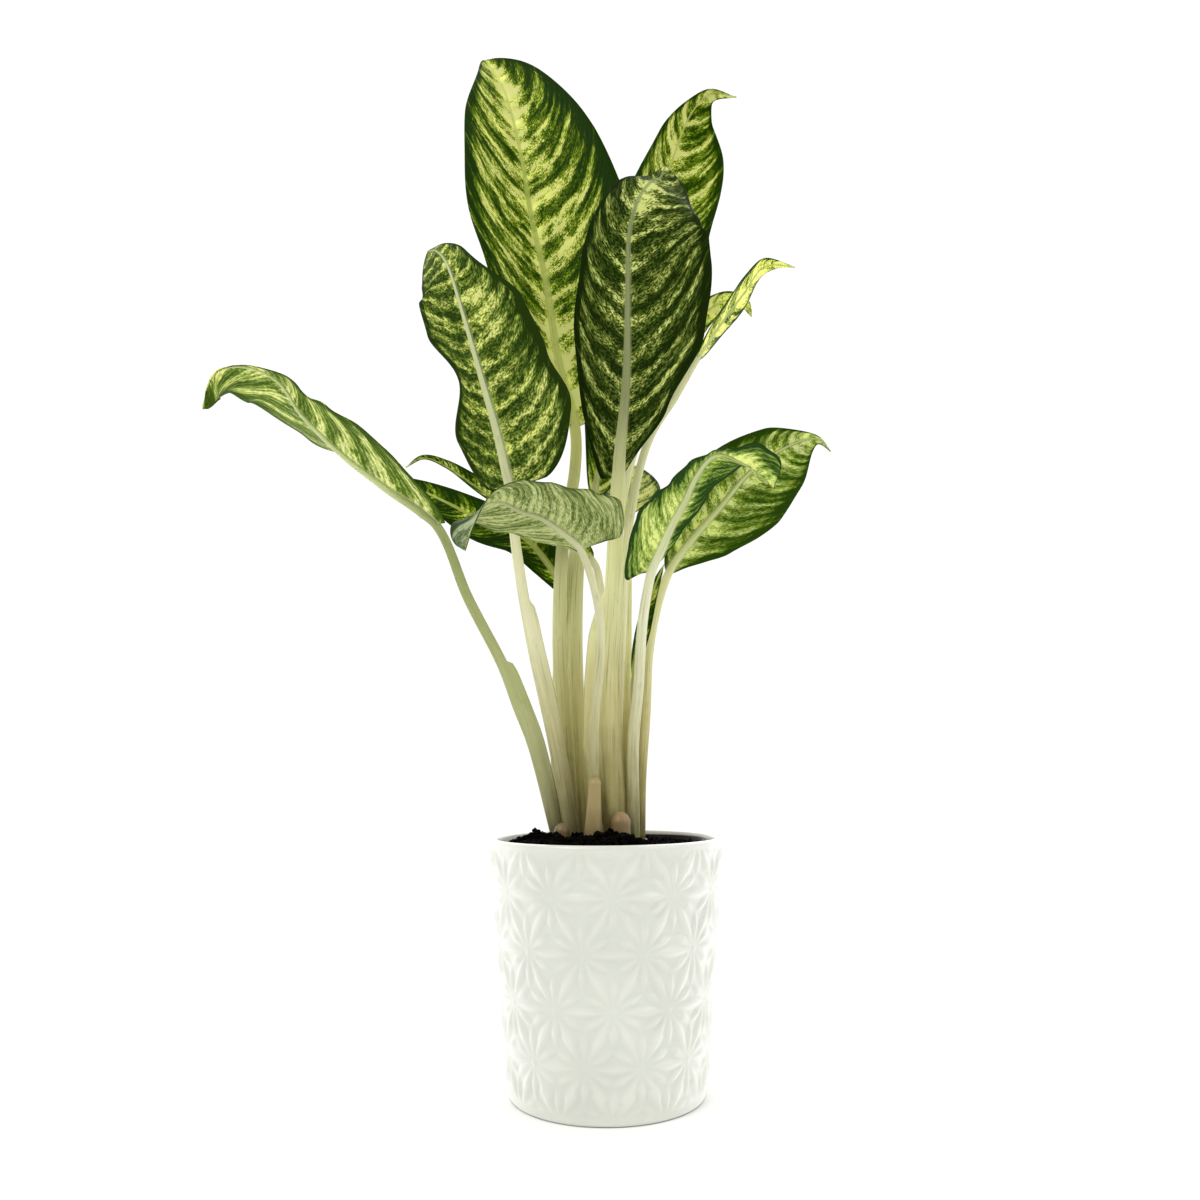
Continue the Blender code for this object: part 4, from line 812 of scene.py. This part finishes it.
def soilHeight(x, y):
    away = ((x - soilSet["middle"][0]) ** 2 + (y - soilSet["middle"][1]) ** 2) / (2 * soilSet["spread"] ** 2)
    height = soilSet["level"] + soilSet["mound"] * exp(-away)
    for middleX, middleY, wide, deep, rise in soilSet["heaps"]:
        height += rise * exp(-(((x - middleX) / wide) ** 2 + ((y - middleY) / deep) ** 2))
    return height


def soilFinish():
    # moist peat mix: nearly black, dull and crumbly, with a few paler grains
    m = newMaterial("moistPeat")
    place = add(m, "TexCoord", out=3)
    crumb = add(m, "TexNoise", {0: place, "Scale": 260.0, "Detail": 6.0})
    grains = add(m, "TexVoronoi", {0: place, "Scale": 420.0})
    colour = add(m, "ValToRGB", {0: crumb},
                 stops={0.35: "#010101", 0.52: "#050302", 0.66: "#120b07", 0.8: "#2a1d14"})
    coarse = add(m, "Bump", {"Height": crumb, "Strength": 0.9, "Distance": 0.0012})
    return opaque(m, colour, grains, 0.5, 0.0008, {"Roughness": 0.92, "Specular IOR Level": 0.05}, coarse)


peat = soilFinish()
bm = bmesh.new()
bmesh.ops.create_grid(bm, x_segments=120, y_segments=120, size=1.0)
for vert in bm.verts:
    # the square grid is drawn into a disc, so that its edge meets the grow pot's wall
    x, y = vert.co.x, vert.co.y
    disc = Vector((x * (1 - y * y / 2) ** 0.5, y * (1 - x * x / 2) ** 0.5)) * soilSet["radius"]
    x, y = disc.x + soilSet["shift"], disc.y
    lumps = noise.fractal(Vector((x, y, 0)) * 240, 0.8, 2.1, 5)
    clods = noise.noise(Vector((x, y, 3.0)) * 95)
    vert.co = (x, y, soilHeight(x, y) - 0.0008 + 0.0011 * lumps + 0.0012 * clods)
skirt = bmesh.ops.extrude_edge_only(bm, edges=[e for e in bm.edges if e.is_boundary])
for vert in [g for g in skirt["geom"] if isinstance(g, bmesh.types.BMVert)]:
    vert.co.z = 0.11
closeUp(bm)
piece("soilBed", bm, [peat], "potting_soil")

rng = random.Random(soilSet["seed"])
bm = bmesh.new()
for k in range(soilSet["crumbs"]):
    r = soilSet["radius"] * 0.97 * rng.random() ** 0.5
    a = rng.random() * 2 * pi
    x, y = r * cos(a) + soilSet["shift"], r * sin(a)
    size = rng.uniform(0.0005, 0.0013) if rng.random() < 0.84 else rng.uniform(0.0014, 0.0024)
    turn = Matrix.Rotation(rng.random() * 6, 4,
                           Vector((rng.random(), rng.random(), rng.random() + 0.1)).normalized())
    grow = Matrix.Diagonal((size * rng.uniform(0.7, 1.5), size * rng.uniform(0.7, 1.3),
                            size * rng.uniform(0.6, 1.0), 1))
    at = Matrix.Translation((x, y, soilHeight(x, y) + size * rng.uniform(-0.2, 0.5)))
    chunk = bmesh.ops.create_icosphere(bm, subdivisions=1, radius=1.0, matrix=at @ turn @ grow)
    for vert in chunk["verts"]:
        vert.co += Vector((rng.uniform(-1, 1), rng.uniform(-1, 1), rng.uniform(-1, 1))) * size * 0.22
for k in range(soilSet["fibres"]):
    # short root and bark fibres that stick out of the mix
    r, a = soilSet["radius"] * 0.9 * rng.random() ** 0.5, rng.random() * 2 * pi
    x, y = r * cos(a) + soilSet["shift"], r * sin(a)
    tilt = Matrix.Rotation(rng.uniform(-1.3, 1.3), 4, "X") @ Matrix.Rotation(rng.random() * 6, 4, "Z")
    at = Matrix.Translation((x, y, soilHeight(x, y) + 0.0004))
    bmesh.ops.create_cone(bm, segments=5, radius1=0.00022, radius2=0.0001, depth=rng.uniform(0.002, 0.005),
                          cap_ends=True, matrix=at @ tilt @ Matrix.Rotation(pi / 2, 4, "Y"))
piece("soilCrumbs", bm, [peat], "potting_soil", smooth=False)
print("soil made")

# each cane has so many leaf rings, which stand out by a share of its half width
canes = dict(names=("caneLeft", "caneMiddle", "caneRight"), ringsEach=5.1, ringOut=0.03)


def barkFinish():
    # Aglaonema cane: smooth green-olive skin with paler rings where old leaves were attached
    m = newMaterial("oliveCaneBark")
    flat = add(m, "Mapping", {0: add(m, "TexCoord", out=3), 3: (60.0, 60.0, 420.0)})
    rings = add(m, "TexNoise", {0: flat, "Scale": 1.0, "Detail": 4.0})
    colour = add(m, "ValToRGB", {0: rings}, stops={0.3: "#4c4a2c", 0.55: "#77724a", 0.8: "#a39b72"})
    return opaque(m, colour, rings, 0.5, 0.0006, {"Roughness": 0.6})


bark = barkFinish()
for caneName in canes["names"]:
    low, high = [Vector(corner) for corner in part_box(nodeName(caneName))]
    # the outline as shares of the cane's half width and height
    profile = [(0, -0.5)]
    for k in range(25):
        t = k / 24
        ring = canes["ringOut"] * exp(-((t * canes["ringsEach"] % 1.0 - 0.5) / 0.12) ** 2)
        profile.append((0.8 + 0.14 * t + ring, -0.5 + t * 0.985))
    profile += [(0.88, 0.497), (0.7, 0.5), (0, 0.5)]
    # spun a centimetre wide, then stretched to the node's box
    bm = lathe([(r * 0.01, z * 0.01) for r, z in profile], 40)
    size = high - low
    bmesh.ops.scale(bm, vec=(size.x * 50, size.y * 50, size.z * 100), verts=bm.verts)
    bmesh.ops.translate(bm, vec=(low + high) / 2, verts=bm.verts)
    piece(caneName, bm, [bark], nodeName(caneName))
print("canes made")

# bend leans the shoot to the right and foot swells its foot; wider multiplies its node's width, and taller
# and aside are added to its height and place
shoots = {
    "shootTall": dict(bend=0.0012, foot=0.9, wider=1.35, taller=0.005, aside=-0.003, tip="#93804c"),
    "shootStub": dict(bend=0.0003, foot=0.15, wider=1.5, taller=0.0065, aside=-0.003, tip="#93794e"),
    "shootBud": dict(bend=0.0004, foot=0.3, wider=1.8, taller=0.0035, aside=-0.0025, tip="#7c6c42"),
}


def shootFinish(name, tip):
    # young shoot still wrapped in its first scale leaf: smooth, moist, pinkish cream, darker towards its foot
    m = newMaterial(name)
    place = add(m, "TexCoord", out=3)
    rise = add(m, "MapRange", {0: add(m, "SeparateXYZ", {0: place}, out=2), 1: 0.128, 2: 0.16})
    streak = add(m, "TexNoise", {0: add(m, "Mapping", {0: place, 3: (900.0, 900.0, 60.0)}), "Scale": 1.0,
                                 "Detail": 3.0})
    mixed = add(m, "Math", {0: streak, 1: 0.25, 2: rise}, **timesPlus)
    colour = add(m, "ValToRGB", {0: mixed}, stops={0: "#4e3f20", 0.35: "#6e5c34", 0.8: tip, 1: "#a3905e"})
    return opaque(m, colour, streak, 0.2, 0.0004, {"Roughness": 0.42, "Subsurface Weight": 0.2,
                                                   "Subsurface Scale": 0.002})


for shootName, shoot in shoots.items():
    low, high = [Vector(corner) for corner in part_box(nodeName(shootName))]
    radius = (high.x - low.x) / 2 * shoot["wider"]
    height = high.z - low.z + shoot["taller"]
    profile = [(0, 0)]
    for k in range(20):
        t = k / 19
        scaleEdge = 0.05 if t > 0.62 else 0.0  # the scale leaf's upper edge stands out a little
        swell = 1.0 + shoot["foot"] * (1 - t) ** 1.5
        profile.append((radius * ((0.9 - 0.1 * t) * swell - scaleEdge), t * (height - radius)))
    for k in range(1, 8):
        angle = pi / 2 * k / 8
        profile.append((radius * 0.8 * cos(angle), height - radius + radius * sin(angle)))
    profile.append((0, height))
    bm = lathe(profile, 28)
    for vert in bm.verts:
        vert.co.x += shoot["bend"] * (vert.co.z / height) ** 2
        vert.co += Vector(((low.x + high.x) / 2 + shoot["aside"], (low.y + high.y) / 2, low.z))
    piece(shootName, bm, [shootFinish(shootName + "Skin", shoot["tip"])], nodeName(shootName))
print("shoots made")
